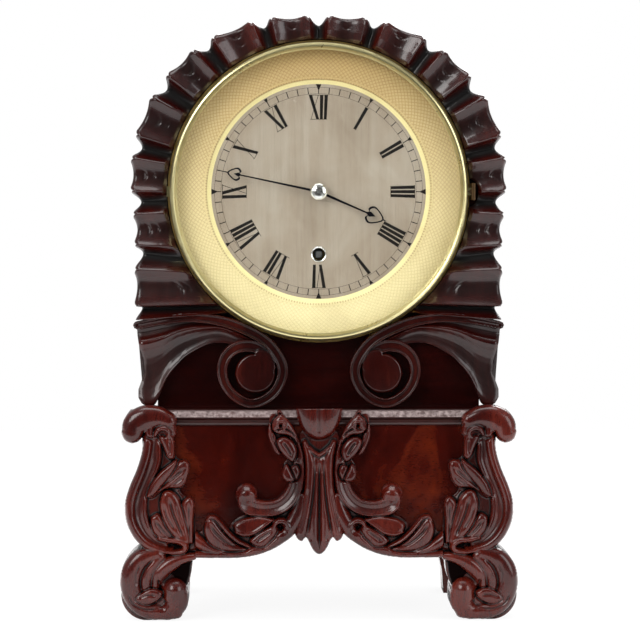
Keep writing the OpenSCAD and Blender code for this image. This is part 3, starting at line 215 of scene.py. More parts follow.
def metal(name, colour, rough, tarnish=0.35, brush=None, stain=None):
    """Polished or satin metal with uneven tarnish, handling marks and, with brush, fine lines one way."""
    s = Shader(name)
    cloud = s.noise(s.place, 45, 5, 0.65)
    small = s.noise(s.place, 320, 4, 0.6)
    base = s.blend(s.span(cloud, 0, tarnish, 0.45, 0.78), colour, stain or scaled(colour, 0.45))
    base = s.blend(s.span(small, 0, 0.25, 0.5, 0.8), base, scaled(colour, 0.7))
    s.set(Metallic=1.0, Base_Color=base, Roughness=s.plus(s.span(cloud, rough, rough + 0.12), s.times(small, 0.06)))
    height = small
    if brush:
        height = s.plus(s.noise(s.stretched(brush), 900, 2, 0.5), s.times(small, 0.3))
    s.bump(height, 0.18, 0.00006)
    return s.material


# Engine turning: spirals each way round the mask, the pitch between their rows in metres, and the teeth of the ring
SPIRALS = 84
SPIRAL_PITCH = 0.0024
RING_TEETH = 130


def engine_turned(name, colour, shade, inner, outer):
    """Gilt brass cut with crossing spirals, which leave rows of small lozenges, and a milled ring inside them; painted
    shade darkens its top and its cuts.
    """
    s = Shader(name)
    x, _, z = s.axes(s.place)
    up = s.math("SUBTRACT", z, DIAL_Z * MM)
    radius = s.math("SQRT", s.plus(s.times(x, x), s.times(up, up)))
    angle = s.math("ARCTAN2", x, up)
    turns = s.times(angle, SPIRALS)
    rings = s.times(radius, math.pi / SPIRAL_PITCH)
    lozenge = s.math("MINIMUM", *(s.math("ABSOLUTE", s.math("SINE", s.math(way, rings, turns)))
                                  for way in ("ADD", "SUBTRACT")))
    zone = s.times(s.math("GREATER_THAN", radius, inner * MM), s.math("LESS_THAN", radius, outer * MM))
    milled = s.math("ABSOLUTE", s.math("SINE", s.times(angle, RING_TEETH)))
    row = s.span(s.math("ABSOLUTE", s.math("SUBTRACT", radius, (inner - 1.3) * MM)), 1, 0, 0.00045, 0.0006)
    cut = s.plus(s.times(s.span(lozenge, 0, 1, 0.0, 0.55), zone), s.times(milled, row))
    cloud = s.noise(s.place, 40, 4, 0.6)
    # Painted shade: the gilt turns darker and browner towards the top
    painted_top_shade = s.blend(s.span(up, 0, 1, -0.078, 0.085), colour, tuple(c * k for c, k in zip(colour, (0.52, 0.39, 0.26))))
    # Painted shade in the cuts between the lozenges, stronger towards the top
    painted_cut_shade = s.times(s.span(lozenge, 1, 0, 0.0, 0.5), s.span(up, 0.22, 0.95, -0.07, 0.08))
    base = s.blend(s.times(painted_cut_shade, zone), painted_top_shade, shade)
    plain = s.math("LESS_THAN", radius, (inner - 2.0) * MM)
    base = s.blend(s.times(plain, 0.8), base, (0.80, 0.70, 0.34))
    # Painted shade between the teeth of the milled ring
    base = s.blend(s.times(s.span(milled, 0.9, 0, 0.1, 0.5), row), base, shade)
    base = s.blend(s.span(cloud, 0, 0.22, 0.5, 0.8), base, shade)
    s.set(Metallic=0.06, Base_Color=base, Roughness=s.span(cloud, 0.3, 0.42))
    s.bump(cut, 0.8, 0.0002)
    return s.material


def silvered(name):
    """Silvered brass with vertical graining and the warm bloom and spots of old lacquer."""
    s = Shader(name)
    bloom = s.noise(s.place, 22, 5, 0.6, 0.6)
    spots = s.noise(s.place, 260, 3, 0.7)
    lines = s.noise(s.stretched((1, 1, 0.03)), 1500, 2, 0.6)
    streaks = s.noise(s.stretched((1, 1, 0.05)), 260, 3, 0.6)
    base = s.ramp(bloom, [(0.3, (0.26, 0.20, 0.145)), (0.5, (0.335, 0.27, 0.205)), (0.72, (0.39, 0.335, 0.27))])
    base = s.blend(s.span(lines, 0, 0.25, 0.45, 0.75), base, (0.215, 0.165, 0.115))
    base = s.blend(s.span(streaks, 0, 0.4, 0.45, 0.75), base, (0.425, 0.37, 0.30))
    base = s.blend(s.span(spots, 0, 0.5, 0.68, 0.8), base, (0.52, 0.47, 0.40))
    s.set(Metallic=0.2, Base_Color=base, Roughness=s.span(bloom, 0.36, 0.5))
    s.bump(s.plus(lines, streaks), 0.2, 0.00005)
    return s.material


def ink(name):
    """Black wax filling of the engraved figures."""
    s = Shader(name)
    worn = s.noise(s.place, 700, 4, 0.6)
    colour = s.ramp(worn, [(0.3, (0.002, 0.0015, 0.0015)), (0.75, (0.014, 0.010, 0.008))])
    s.set(Base_Color=colour, Roughness=s.span(worn, 0.5, 0.7), Specular_IOR_Level=0.2)
    return s.material


def glass(name):
    """Thin old glass: it shows its reflections and the faint smears on it, and little else."""
    s = Shader(name)
    smear = s.noise(s.place, 25, 4, 0.6, 0.4)
    clear = s.node("ShaderNodeBsdfTransparent", [(0, (0.98, 0.99, 0.985))])
    shine = s.node("ShaderNodeBsdfGlossy", [("Color", (1, 1, 1)), ("Roughness", s.span(smear, 0.015, 0.07))])
    # Rays that leave the glass meet the inverse index, or they would all be turned back
    inner = s.node("ShaderNodeNewGeometry").outputs["Backfacing"]
    edge = s.node("ShaderNodeFresnel", [("IOR", s.span(inner, 1.45, 1 / 1.45))])
    s.shows(s.either(edge.outputs[0], clear, shine))
    return s.material


def cord_gut(name):
    """Twisted gut."""
    s = Shader(name)
    twist = s.node("ShaderNodeTexWave", [("Vector", s.stretched((1, 1, 1), (0.6, 0.3, 0.4))), ("Scale", 900)])
    strands = twist.outputs["Fac"]
    s.set(Base_Color=s.ramp(strands, [(0.2, (0.30, 0.21, 0.10)), (0.8, (0.62, 0.50, 0.30))]), Roughness=0.5)
    s.bump(strands, 0.5, 0.0001)
    return s.material


CARVED = mahogany("carved_mahogany", (0.010, 0.0004, 0.0003), (0.034, 0.0022, 0.0010), (0.082, 0.0088, 0.0038),
                  gloss=0.17)
DEEP = mahogany("deep_mahogany", (0.005, 0.0002, 0.0002), (0.017, 0.0011, 0.0006), (0.045, 0.0046, 0.0022),
                gloss=0.15, coat=0.32)
BOARD = mahogany("board_mahogany", (0.004, 0.0001, 0.0001), (0.009, 0.0004, 0.0002), (0.019, 0.0011, 0.0005),
                 along=(0.12, 1, 1), gloss=0.1, coat=0.2)
PANEL = mahogany("figured_mahogany", (0.009, 0.0004, 0.0002), (0.027, 0.0016, 0.0006), (0.088, 0.0105, 0.0022),
                 along=(0.3, 1, 1), figure=0.7, gloss=0.08, coat=0.2)
CASE = mahogany("case_mahogany", (0.015, 0.0014, 0.0008), (0.045, 0.0058, 0.0026), (0.10, 0.018, 0.008),
                along=(0.5, 0.12, 1), gloss=0.2)
INSIDE = mahogany("plain_mahogany", (0.05, 0.018, 0.010), (0.11, 0.045, 0.022), (0.19, 0.085, 0.042),
                  along=(0.12, 1, 1), gloss=0.5)
LEDGE = mahogany("worn_moulding", (0.006, 0.0006, 0.0004), (0.020, 0.0024, 0.0016), (0.05, 0.009, 0.006),
                 along=(0.12, 1, 1), gloss=0.3, dust_and_sheen_above=115.2)
BRASS = metal("lacquered_brass", (0.62, 0.43, 0.17), 0.2)
SATIN_BRASS = metal("grained_brass", (0.60, 0.43, 0.19), 0.3, brush=(1, 1, 0.03))
GILT = metal("gilt_brass", (0.58, 0.52, 0.27), 0.2, tarnish=0.4)
MASK = engine_turned("engine_turned_gilt", (0.80, 0.69, 0.38), (0.27, 0.155, 0.045), 65.4, 80.4)
SILVERED = silvered("silvered_brass")
SILVER = metal("bright_silver", (0.80, 0.79, 0.77), 0.16)
STEEL = metal("polished_steel", (0.56, 0.56, 0.57), 0.24)
PATINA = metal("dark_patina", (0.10, 0.06, 0.03), 0.35)
BLUED = metal("blued_steel", (0.020, 0.020, 0.030), 0.28, stain=(0.008, 0.008, 0.012))
INK = ink("black_wax")
GLASS = glass("old_glass")
GUT = cord_gut("gut")

NODE_FINISH = {
    CASE: "case_shell base_carcass rear_feet back_door",
    BOARD: "front_board",
    INSIDE: "seat_board seat_rails",
    PANEL: "base_panel",
    CARVED: "carved_surround volute_left volute_right console_left console_right apron_left apron_right centre_drop",
    LEDGE: "base_top",
    BRASS: "door_hinges door_button door_keeper bezel_seat pillars great_wheel fusee barrel centre_wheel third_wheel "
           "escape_wheel pendulum_bob rating_nut cannon_pinion minute_wheel hour_wheel hour_bridge",
    SATIN_BRASS: "front_plate back_plate back_cock",
    GILT: "bezel",
    MASK: "mask_ring",
    SILVERED: "dial_plate",
    SILVER: "winding_collet hand_collet",
    STEEL: "taper_pin great_click fusee_arbor barrel_arbor barrel_click mainspring centre_arbor third_arbor "
           "escape_arbor pallet_arbor anchor suspension_spring pendulum_rod",
    BLUED: "hour_hand minute_hand",
    GLASS: "door_glass bezel_glass",
    GUT: "gut_line",
}


def finish_nodes():
    """Gives every node of the model its material, and the bezel's hinge a darker one."""
    for finish, names in NODE_FINISH.items():
        for name in names.split():
            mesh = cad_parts[name].data
            mesh.materials.clear()
            mesh.materials.append(finish)
    for name in ("bezel", "bezel_seat"):
        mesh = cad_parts[name].data
        mesh.materials.append(PATINA)
        for face in mesh.polygons:
            if face.center.x > KNUCKLE_X * MM:
                face.material_index = 1


# Curves and meshes

def spline(points, steps=10, closed=False):
    """A smooth curve through points, as an array."""
    p = np.asarray(points, float)
    count = len(p)
    out = []
    for i in range(count if closed else count - 1):
        if closed:
            a, b, c, d = (p[(i + k) % count] for k in (-1, 0, 1, 2))
        else:
            a, b, c, d = p[max(i - 1, 0)], p[i], p[i + 1], p[min(i + 2, count - 1)]
        for t in np.linspace(0, 1, steps, endpoint=False):
            out.append(0.5 * (2 * b + (c - a) * t + (2 * a - 5 * b + 4 * c - d) * t * t
                              + (3 * b - a - 3 * c + d) * t ** 3))
    if not closed:
        out.append(p[-1])
    return np.array(out)


def loft(rings, reverse=False):
    """Vertices and faces of a solid through rings of equally many points, closed at both ends."""
    rows, last = len(rings[0]), len(rings) - 1
    faces = []
    for i in range(last):
        for k in range(rows):
            a, b = i * rows + k, i * rows + (k + 1) % rows
            faces.append((a, b, b + rows, a + rows))
    faces += [tuple(range(rows))[::-1], tuple(range(last * rows, (last + 1) * rows))]
    if reverse:
        faces = [face[::-1] for face in faces]
    return [point for ring in rings for point in ring], faces


def add(name, data):
    obj = bpy.data.objects.new(name, data)
    bpy.context.scene.collection.objects.link(obj)
    return obj


def piece(name, verts, faces, material, slot, node=None, hollow=None, smooth=True, crease=None):
    """A mesh object from millimetres on the case; crease is the angle from which its edges stay sharp."""
    mesh = bpy.data.meshes.new(name)
    mesh.from_pydata([tuple(v) for v in np.asarray(verts) * MM], [], faces)
    if hollow is not None:
        store = mesh.attributes.new("hollow", "FLOAT", "POINT")
        store.data.foreach_set("value", np.asarray(hollow, np.float32))
    mesh.update()
    if smooth:
        mesh.shade_smooth()
    if crease:
        mesh.set_sharp_from_angle(angle=math.radians(crease))
    obj = add(name, mesh)
    mesh.materials.append(material)
    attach(obj, "case")
    if node:
        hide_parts(node)


# Carving in relief: strokes raise a field over a grid, grooves cut it, and the field becomes a mesh.
# A profile gives the share of the height at u from the middle of a stroke, on one side (-1 or 1) of it.

def round_profile(u, side):
    return 0.42 + 0.58 * np.sqrt(np.clip(1 - u ** 2.4, 0, 1))


def scoop_profile(u, side):
    """Two soft rims with a smooth channel between them, nearer one side."""
    return np.interp(u * side, [-1, -0.9, -0.74, -0.5, 0, 0.45, 0.72, 0.9, 1],
                     [0.45, 0.84, 0.95, 0.84, 0.7, 0.78, 0.93, 0.88, 0.45])


def band_profile(u, side):
    """A flat fillet with narrow raised rims."""
    return 0.80 + 0.16 * np.exp(-((u - 0.78) / 0.12) ** 2) - 0.42 * np.clip((u - 0.86) / 0.14, 0, 1) ** 2


def ball_profile(u, side):
    return 0.35 + 0.65 * np.cos(1.5 * u) ** 0.7


def eye_profile(u, side):
    """A nearly flat round face with an eased edge."""
    return 0.9 + 0.1 * np.sqrt(np.clip(1 - u * u, 0, 1)) - 0.2 * np.clip((u - 0.9) / 0.1, 0, 1) ** 2


def to_path(x, z, path):
    """Distance of each point to a path, the place along it from 0 to 1, and the side it is on."""
    a, step = path[:-1], np.diff(path, axis=0)
    length = np.maximum(np.hypot(step[:, 0], step[:, 1]), 1e-9)
    run = np.concatenate([[0], np.cumsum(length)])
    dx, dz = x.ravel()[:, None] - a[None, :, 0], z.ravel()[:, None] - a[None, :, 1]
    t = np.clip((dx * step[:, 0] + dz * step[:, 1]) / length ** 2, 0, 1)
    away = np.hypot(dx - t * step[:, 0], dz - t * step[:, 1])
    best = np.argmin(away, axis=1)
    row = np.arange(x.size)
    along = (run[best] + t[row, best] * length[best]) / run[-1]
    cross = step[best, 0] * dz[row, best] - step[best, 1] * dx[row, best]
    return tuple(values.reshape(x.shape) for values in (away[row, best], along, np.sign(cross)))


def four(grid):
    """The sum over the corners of every cell of a grid."""
    return grid[:-1, :-1] + grid[1:, 1:] + grid[1:, :-1] + grid[:-1, 1:]


# From this height the carving is cut back round a leaf that lies on it
OVER_GROUND = 3.4
# How far round a point its mean height is taken
HOLLOW_REACH = 1.4


class Relief:
    """A field of carving on a grid in x and z: its height, the distance inside its outline, and its painted shade."""

    def __init__(self, low, high, cell=0.4):
        self.cell = cell
        self.xs = np.arange(low[0], high[0] + cell, cell)
        self.zs = np.arange(low[1], high[1] + cell, cell)
        self.x, self.z = np.meshgrid(self.xs, self.zs, indexing="ij")
        self.height = np.zeros_like(self.x)
        self.inside = np.full_like(self.x, -99.0)
        self.painted_shade = np.zeros_like(self.x)

    def window(self, path, reach):
        """The part of the grid round a path, and the path's distance, place and side there."""
        low, high = path.min(axis=0) - reach, path.max(axis=0) + reach
        part = tuple(slice(*np.searchsorted(line, ends)) for line, ends in zip((self.xs, self.zs), zip(low, high)))
        return part, *to_path(self.x[part], self.z[part], path)

    def widen(self, part, inside):
        self.inside[part] = np.maximum(self.inside[part], inside)

    def stroke(self, points, widths, heights, profile=round_profile, soft=0.8):
        """Raises a tapering stroke; widths are half widths along it and heights its crest heights."""
        part, away, along, side = self.window(spline(points, 8), max(widths) + 1.5)
        w = np.interp(along, np.linspace(0, 1, len(widths)), widths)
        h = np.interp(along, np.linspace(0, 1, len(heights)), heights)
        made = np.where(away < w, h * profile(np.clip(away / w, 0, 1), side), 0)
        old = self.height[part]
        self.painted_shade[part] = np.where(made >= old, 0, self.painted_shade[part])
        seam = np.where((old > 0) & (made > 0), np.clip(soft - np.abs(old - made), 0, None) ** 2 / (4 * soft), 0)
        self.height[part] = np.maximum(old, made) + seam
        self.widen(part, w - away)

    def outlined(self, points):
        """The window round a closed outline, the distance to it, which points are within it, and its middle."""
        path = spline(points, 6, closed=True)
        path = np.vstack([path, path[:1]])
        part, away, _, _ = self.window(path, 2.4)
        x, z = self.x[part], self.z[part]
        within = np.zeros(x.shape, bool)
        for a, b in zip(path[:-1], path[1:]):
            if a[1] != b[1]:
                reach = (a[1] > z) != (b[1] > z)
                within ^= reach & (x < (b[0] - a[0]) * (z - a[1]) / (b[1] - a[1]) + a[0])
        return part, away, within, path.mean(axis=0)

    def ground(self, points, height, edge=2.4):
        """Fills a closed outline with a low rounded ground, for the leaves to grow from."""
        part, away, within, _ = self.outlined(points)
        made = np.where(within, height * (0.55 + 0.45 * np.clip(away / edge, 0, 1) ** 0.7), 0)
        self.height[part] = np.maximum(self.height[part], made)
        self.widen(part, np.where(within, away, -away))

    def lay(self, part, within, face, away, cut):
        """Lays a face over what is there, and cuts away round it what stands above the ground."""
        old = self.height[part]
        under = np.where(old > OVER_GROUND, cut * np.exp(-(away / 0.8) ** 2), 0)
        self.height[part] = np.where(within, face, old - under)
        self.painted_shade[part] = np.where(within, 0, self.painted_shade[part])
        self.widen(part, np.where(within, away, -away))

    def leaf(self, points, height, edge=2.8, lean=(0, 0), rim=0.72, cut=1.5):
        """Lays a broad leaf with a rounded margin and a leaning face."""
        part, away, within, middle = self.outlined(points)
        face = height + lean[0] * (self.x[part] - middle[0]) + lean[1] * (self.z[part] - middle[1])
        dome = rim + (1 - rim) * np.sqrt(1 - (1 - np.clip(away / edge, 0, 1)) ** 2)
        self.lay(part, within, face * dome, away, cut)

    def bowl(self, centre, half, height, low):
        """Lays a smooth oval boss."""
        u = np.hypot((self.x - centre[0]) / half[0], (self.z - centre[1]) / half[1])
        dome = height * (low + (1 - low) * np.sqrt(np.clip(1 - u * u, 0, 1)))
        self.lay(np.s_[:, :], u < 1, dome, np.abs(1 - u) * min(half), 1.5)

    def shade(self, points, amount):
        """Paints shade into a recess, however flat it is."""
        part, away, within, _ = self.outlined(points)
        self.painted_shade[part] = np.maximum(self.painted_shade[part], np.where(within, amount * np.clip(away / 2, 0, 1), 0))

    def soften(self, times=1):
        """Eases every edge as sandpaper and polish do."""
        for _ in range(times):
            for axis in (0, 1):
                self.height = (np.roll(self.height, 1, axis) + 2 * self.height + np.roll(self.height, -1, axis)) / 4

    def groove(self, points, width, depth):
        """Cuts a channel of that half width and depth, which fades at its ends."""
        part, away, along, _ = self.window(spline(points, 8), 3 * width)
        fade = np.clip(np.minimum(along, 1 - along) * 6, 0.15, 1)
        self.height[part] -= depth * fade * np.exp(-(away / width) ** 2)

    def clip(self, test):
        """Keeps only the part of the field where the test of x and z is positive."""
        self.inside = np.minimum(self.inside, test(self.x, self.z))

    def hollow(self):
        """How far each point lies below the mean height around it, in millimetres, plus the painted shade laid into
        recesses.
        """
        reach = round(HOLLOW_REACH / self.cell)
        near = range(-reach, reach + 1)
        shifts = [(i, k) for i in near for k in near if i * i + k * k <= reach * reach]
        return sum(np.roll(self.height, shift, (0, 1)) for shift in shifts) / len(shifts) - self.height + self.painted_shade

    def mesh(self, front, back, least=0.6, mirror=False):
        """Vertices, faces and hollows of the closed relief; front is the y it rises from, back(x, z) the rear y."""
        cell = self.cell
        quads = (four((self.inside > -0.7 * cell).astype(int)) == 4) & (four(self.inside) > 0)
        cells = four(np.pad(quads.astype(int), 1))
        keep = cells > 0
        # The vertices of the rim move onto the outline
        gx, gz = np.gradient(self.inside, cell)
        move = np.where(cells < 4, np.clip(self.inside, -cell, cell) / np.maximum(gx ** 2 + gz ** 2, 0.2), 0)
        x, z = (self.x - gx * move)[keep], (self.z - gz * move)[keep]
        h = np.maximum(self.height, least)[keep]
        total = len(x)
        number = np.full(keep.shape, -1)
        number[keep] = np.arange(total)
        i, k = np.nonzero(quads)
        loop = np.stack([number[i, k], number[i + 1, k], number[i + 1, k + 1], number[i, k + 1]], axis=1)
        # Walls stand on the edges that only one cell has
        edges = np.concatenate([loop[:, pair] for pair in ([0, 1], [1, 2], [2, 3], [3, 0])])
        a, b = edges[~np.isin(edges @ (total, 1), edges @ (1, total))].T
        faces = np.concatenate([loop, loop[:, ::-1] + total, np.stack([b, a, a + total, b + total], axis=1)])
        flip = 1
        if mirror:
            flip, faces = -1, faces[:, ::-1]
        verts = np.concatenate([np.stack([x * flip, y, z], axis=1) for y in (front - h, back(x, z))])
        return verts, faces.tolist(), np.concatenate([self.hollow()[keep], np.zeros(total)])


# Front carving, drawn for the left side from the middle of the case; x and z in millimetres
# How far the moulding stands before the panel, the joint behind a carving, and how far a console reaches
# behind the face of the front board
LIP = 2.8
GLUE = 0.05
CONSOLE_REACH = 4
# Heights from which the carving lies on the moulding, and at which the moulding begins
MOULDING_LOW = 112
MOULDING_FOOT = 110.4


def foot_and_console(r):
    """Left corner console and its scroll foot."""
    # Foot: the hollow under the arm, darkened with painted shade, the swirl, its rolled end and the leaf that turns
    # into it
    hollow = [(-92, 31), (-84, 33.6), (-73, 35.6), (-72.4, 29), (-73.4, 23.6), (-76, 18), (-82, 12), (-90, 13)]
    r.ground(hollow, 2.6, 1)
    r.shade(hollow, 2.4)
    r.stroke([(-97.5, 14.5), (-92.5, 15)], [14.6, 14.6], [5.4, 5.4], ball_profile, 0.6)
    r.stroke([(-70.6, 36.6), (-78, 35.2), (-85, 31.8), (-90.4, 26.6), (-92.6, 20)], [2.2, 3.4, 4.6, 4.6, 2.6],
            [7.8, 8.8, 9.2, 9, 8])
    r.stroke([(-92, 38), (-100.4, 34.8), (-105.4, 28), (-106.4, 19), (-103.4, 10.8), (-97, 5.8), (-88, 4.2),
            (-81, 4.4)], [4, 6, 6.4, 6.2, 5.8, 5, 4.2, 3.6], [8.4, 9, 9.2, 9.2, 9, 8.4, 7.6, 7])
    r.stroke([(-89.6, 36.4), (-95.4, 31), (-98.4, 24), (-97.6, 17)], [3.2, 4.4, 4.4, 2.8], [8, 8.8, 8.8, 8])
    r.stroke([(-81.8, 17), (-82, 9.4), (-86.6, 5)], [7.2, 7.4, 5], [9.6, 9, 7.6], ball_profile)
    r.leaf([(-104, 12.4), (-100.6, 16), (-96, 18.4), (-91.4, 18), (-88.6, 16.2), (-90.2, 12.6), (-95.4, 9.6),
            (-100.4, 9.8)], 8.8, 2.6, (0, 0.06), 0.8, 1.2)
    r.groove([(-108.6, 17), (-105, 10), (-97.6, 6.8), (-90, 7.6)], 0.6, 1.3)
    r.groove([(-91, 24), (-90.4, 20), (-89.6, 16.4)], 0.8, 2.2)
    r.groove([(-88.6, 15.4), (-87.6, 11), (-87.4, 8)], 0.5, 0.5)
    r.groove([(-100.8, 33), (-103.4, 27), (-103, 20)], 0.6, 0.9)
    r.groove([(-93.4, 35.4), (-98.4, 30), (-101, 23), (-100.6, 17)], 0.7, 1.8)
    r.groove([(-102, 13), (-97, 15), (-92, 14.6)], 0.6, 0.9)
    # Ground between the scroll and the tips of the leaves
    r.ground([(-99.4, 112), (-89, 112), (-83, 112), (-82.4, 104), (-82.4, 97), (-80, 92), (-75, 91), (-73.6, 87),
            (-74.4, 81.6), (-77, 76), (-79, 73.6), (-76, 70.4), (-71.6, 69), (-70.4, 61), (-70, 54), (-69, 40),
            (-80, 38.6), (-92, 41), (-101, 47), (-106, 58), (-106, 70), (-102, 82), (-99.6, 92), (-100, 102)], 3.2)
    # C scroll from the top roll down to the foot: an outer roll and a wide cove inside it
    r.stroke([(-91.4, 106), (-92.8, 99), (-93.2, 91), (-96.4, 82.4), (-100.6, 72.4), (-101.8, 62.4), (-99.4, 53),
            (-93.6, 46), (-85, 42.4)], [3, 3.8, 4, 4.2, 4.4, 4.6, 4.6, 4.4, 3],
            [7.4, 7.4, 7.4, 7.4, 7.4, 7.4, 7.4, 7.4, 7], scoop_profile, 0.5)
    r.stroke([(-95.6, 111), (-96.4, 103), (-97.6, 94), (-100.4, 84.8), (-104.4, 75), (-106.8, 66), (-106.2, 57),
            (-102.2, 48.6), (-96, 42.8), (-87.6, 40)], [2.8, 2.9, 2.9, 2.9, 3, 3.1, 3.1, 3.2, 3, 2.2],
            [8, 8.6, 8.9, 9, 9.2, 9.2, 9.2, 9, 8.6, 7.6])
    # Top roll, its curl and the small leaf that hangs from it
    r.leaf([(-91, 106), (-88.3, 108), (-84.3, 107.5), (-82, 103.5), (-81.4, 97.5), (-82.2, 92), (-85.4, 92.6),
            (-88.2, 98.6)], 8.2, 3, (0.12, 0))
    r.stroke([(-85, 113.4), (-91.4, 115.4), (-98.6, 114.6), (-103.8, 111.2), (-105.6, 106.6)], [4.8, 6.2, 7.2, 7.4, 6],
            [8.8, 9.4, 9.6, 9.6, 9.2])
    r.stroke([(-84.6, 112), (-83.6, 107)], [3.6, 3.4], [7.6, 7.2], soft=0.5)
    r.stroke([(-92.4, 105.6), (-90.8, 108.6), (-87.6, 109.4), (-84.8, 107.6), (-84.6, 104.4)], [1.2, 1.8, 2, 1.8, 1.1],
            [9, 9.9, 9.9, 9.6, 8.8], soft=0.7)
    r.groove([(-90, 105.2), (-88, 105.8), (-86.4, 104.4)], 0.9, 2.4)
    r.groove([(-99, 106.8), (-96.6, 104), (-93.4, 103)], 0.8, 2.0)
    r.groove([(-84.4, 103), (-84, 98), (-84.4, 94)], 0.6, 0.9)
    # Leaves inside the scroll, the far ones first
    r.leaf([(-96.4, 70.4), (-92.3, 80.2), (-86.9, 86.2), (-81, 90.1), (-75.6, 91.2), (-73.1, 88.6), (-73.8, 83.2),
            (-75.4, 78.5), (-78.4, 75.6), (-83, 75.4), (-88.1, 74.4), (-93.5, 70)], 8, 3.4, (0.06, 0.05))
    r.groove([(-91.6, 74.4), (-84, 80), (-76.2, 86.6)], 0.7, 1.3)
    r.groove([(-86, 75.6), (-80.6, 78.6), (-76.4, 82)], 0.6, 0.8)
    r.leaf([(-97.3, 70.5), (-94.9, 77.9), (-90.2, 84.2), (-84.8, 88.8), (-80.6, 91.6), (-80.8, 88), (-83.8, 83),
            (-88.6, 77), (-92.9, 71.8)], 9, 2.2, (-0.1, 0.12), 0.8)
    r.leaf([(-94.8, 59.2), (-91.4, 60.9), (-88.1, 58.6), (-85, 54.8), (-81, 49.9), (-76.7, 43.7), (-78.8, 42),
            (-84.5, 44.3), (-89.9, 46.6), (-93.7, 50.6), (-95.2, 55.3)], 8, 3, (-0.05, 0.05))
    r.groove([(-92.4, 57), (-88, 51.4), (-81.6, 45.6)], 0.7, 1.3)
    r.groove([(-89, 56.4), (-85.4, 51), (-80.6, 46)], 0.5, 0.8)
    r.leaf([(-78.4, 65), (-75.6, 69.6), (-72.6, 70.4), (-70.6, 67.4), (-70.8, 61.8), (-71.2, 55.8), (-71.4, 49.9),
            (-71.6, 43.9), (-74.8, 45.1), (-76.1, 51.1), (-77.4, 58.2)], 8.4, 2.6, (0.1, 0.02))
    r.groove([(-73.6, 66.4), (-73.6, 58), (-73.4, 49)], 0.6, 1.2)
    r.leaf([(-86.9, 73.9), (-82.7, 73.5), (-79.3, 69.9), (-77.9, 65.4), (-76.5, 60.6), (-74.6, 53.4), (-73.1, 45.1),
            (-76, 41.5), (-79.8, 44.9), (-84.5, 50.8), (-88.3, 58), (-90, 65.1), (-89.1, 71.1)], 9, 3.6, (-0.03, 0.03))
    r.groove([(-84.6, 70), (-82.8, 62), (-79.6, 54), (-76.4, 47)], 0.8, 1.6)
    r.groove([(-87.6, 66), (-85.4, 58.6), (-81, 51.4)], 0.6, 1.0)
    r.groove([(-80.6, 66), (-79, 59), (-76.6, 51.6)], 0.5, 0.7)
    # Rolled eye at the foot of the leaves
    r.stroke([(-90.4, 47), (-84.8, 45.9), (-79.2, 45.4), (-75.8, 42.9), (-77, 39.9), (-82.4, 38.9), (-88.4, 39.6)],
            [1.3, 1.8, 2, 2.1, 1.9, 1.6, 1.2], [8.6, 9.2, 9.6, 9.6, 9, 8.4, 7.8], soft=0.5)
    r.groove([(-86, 42.6), (-81.6, 42.6), (-78.6, 42)], 1.0, 5)
    r.soften()


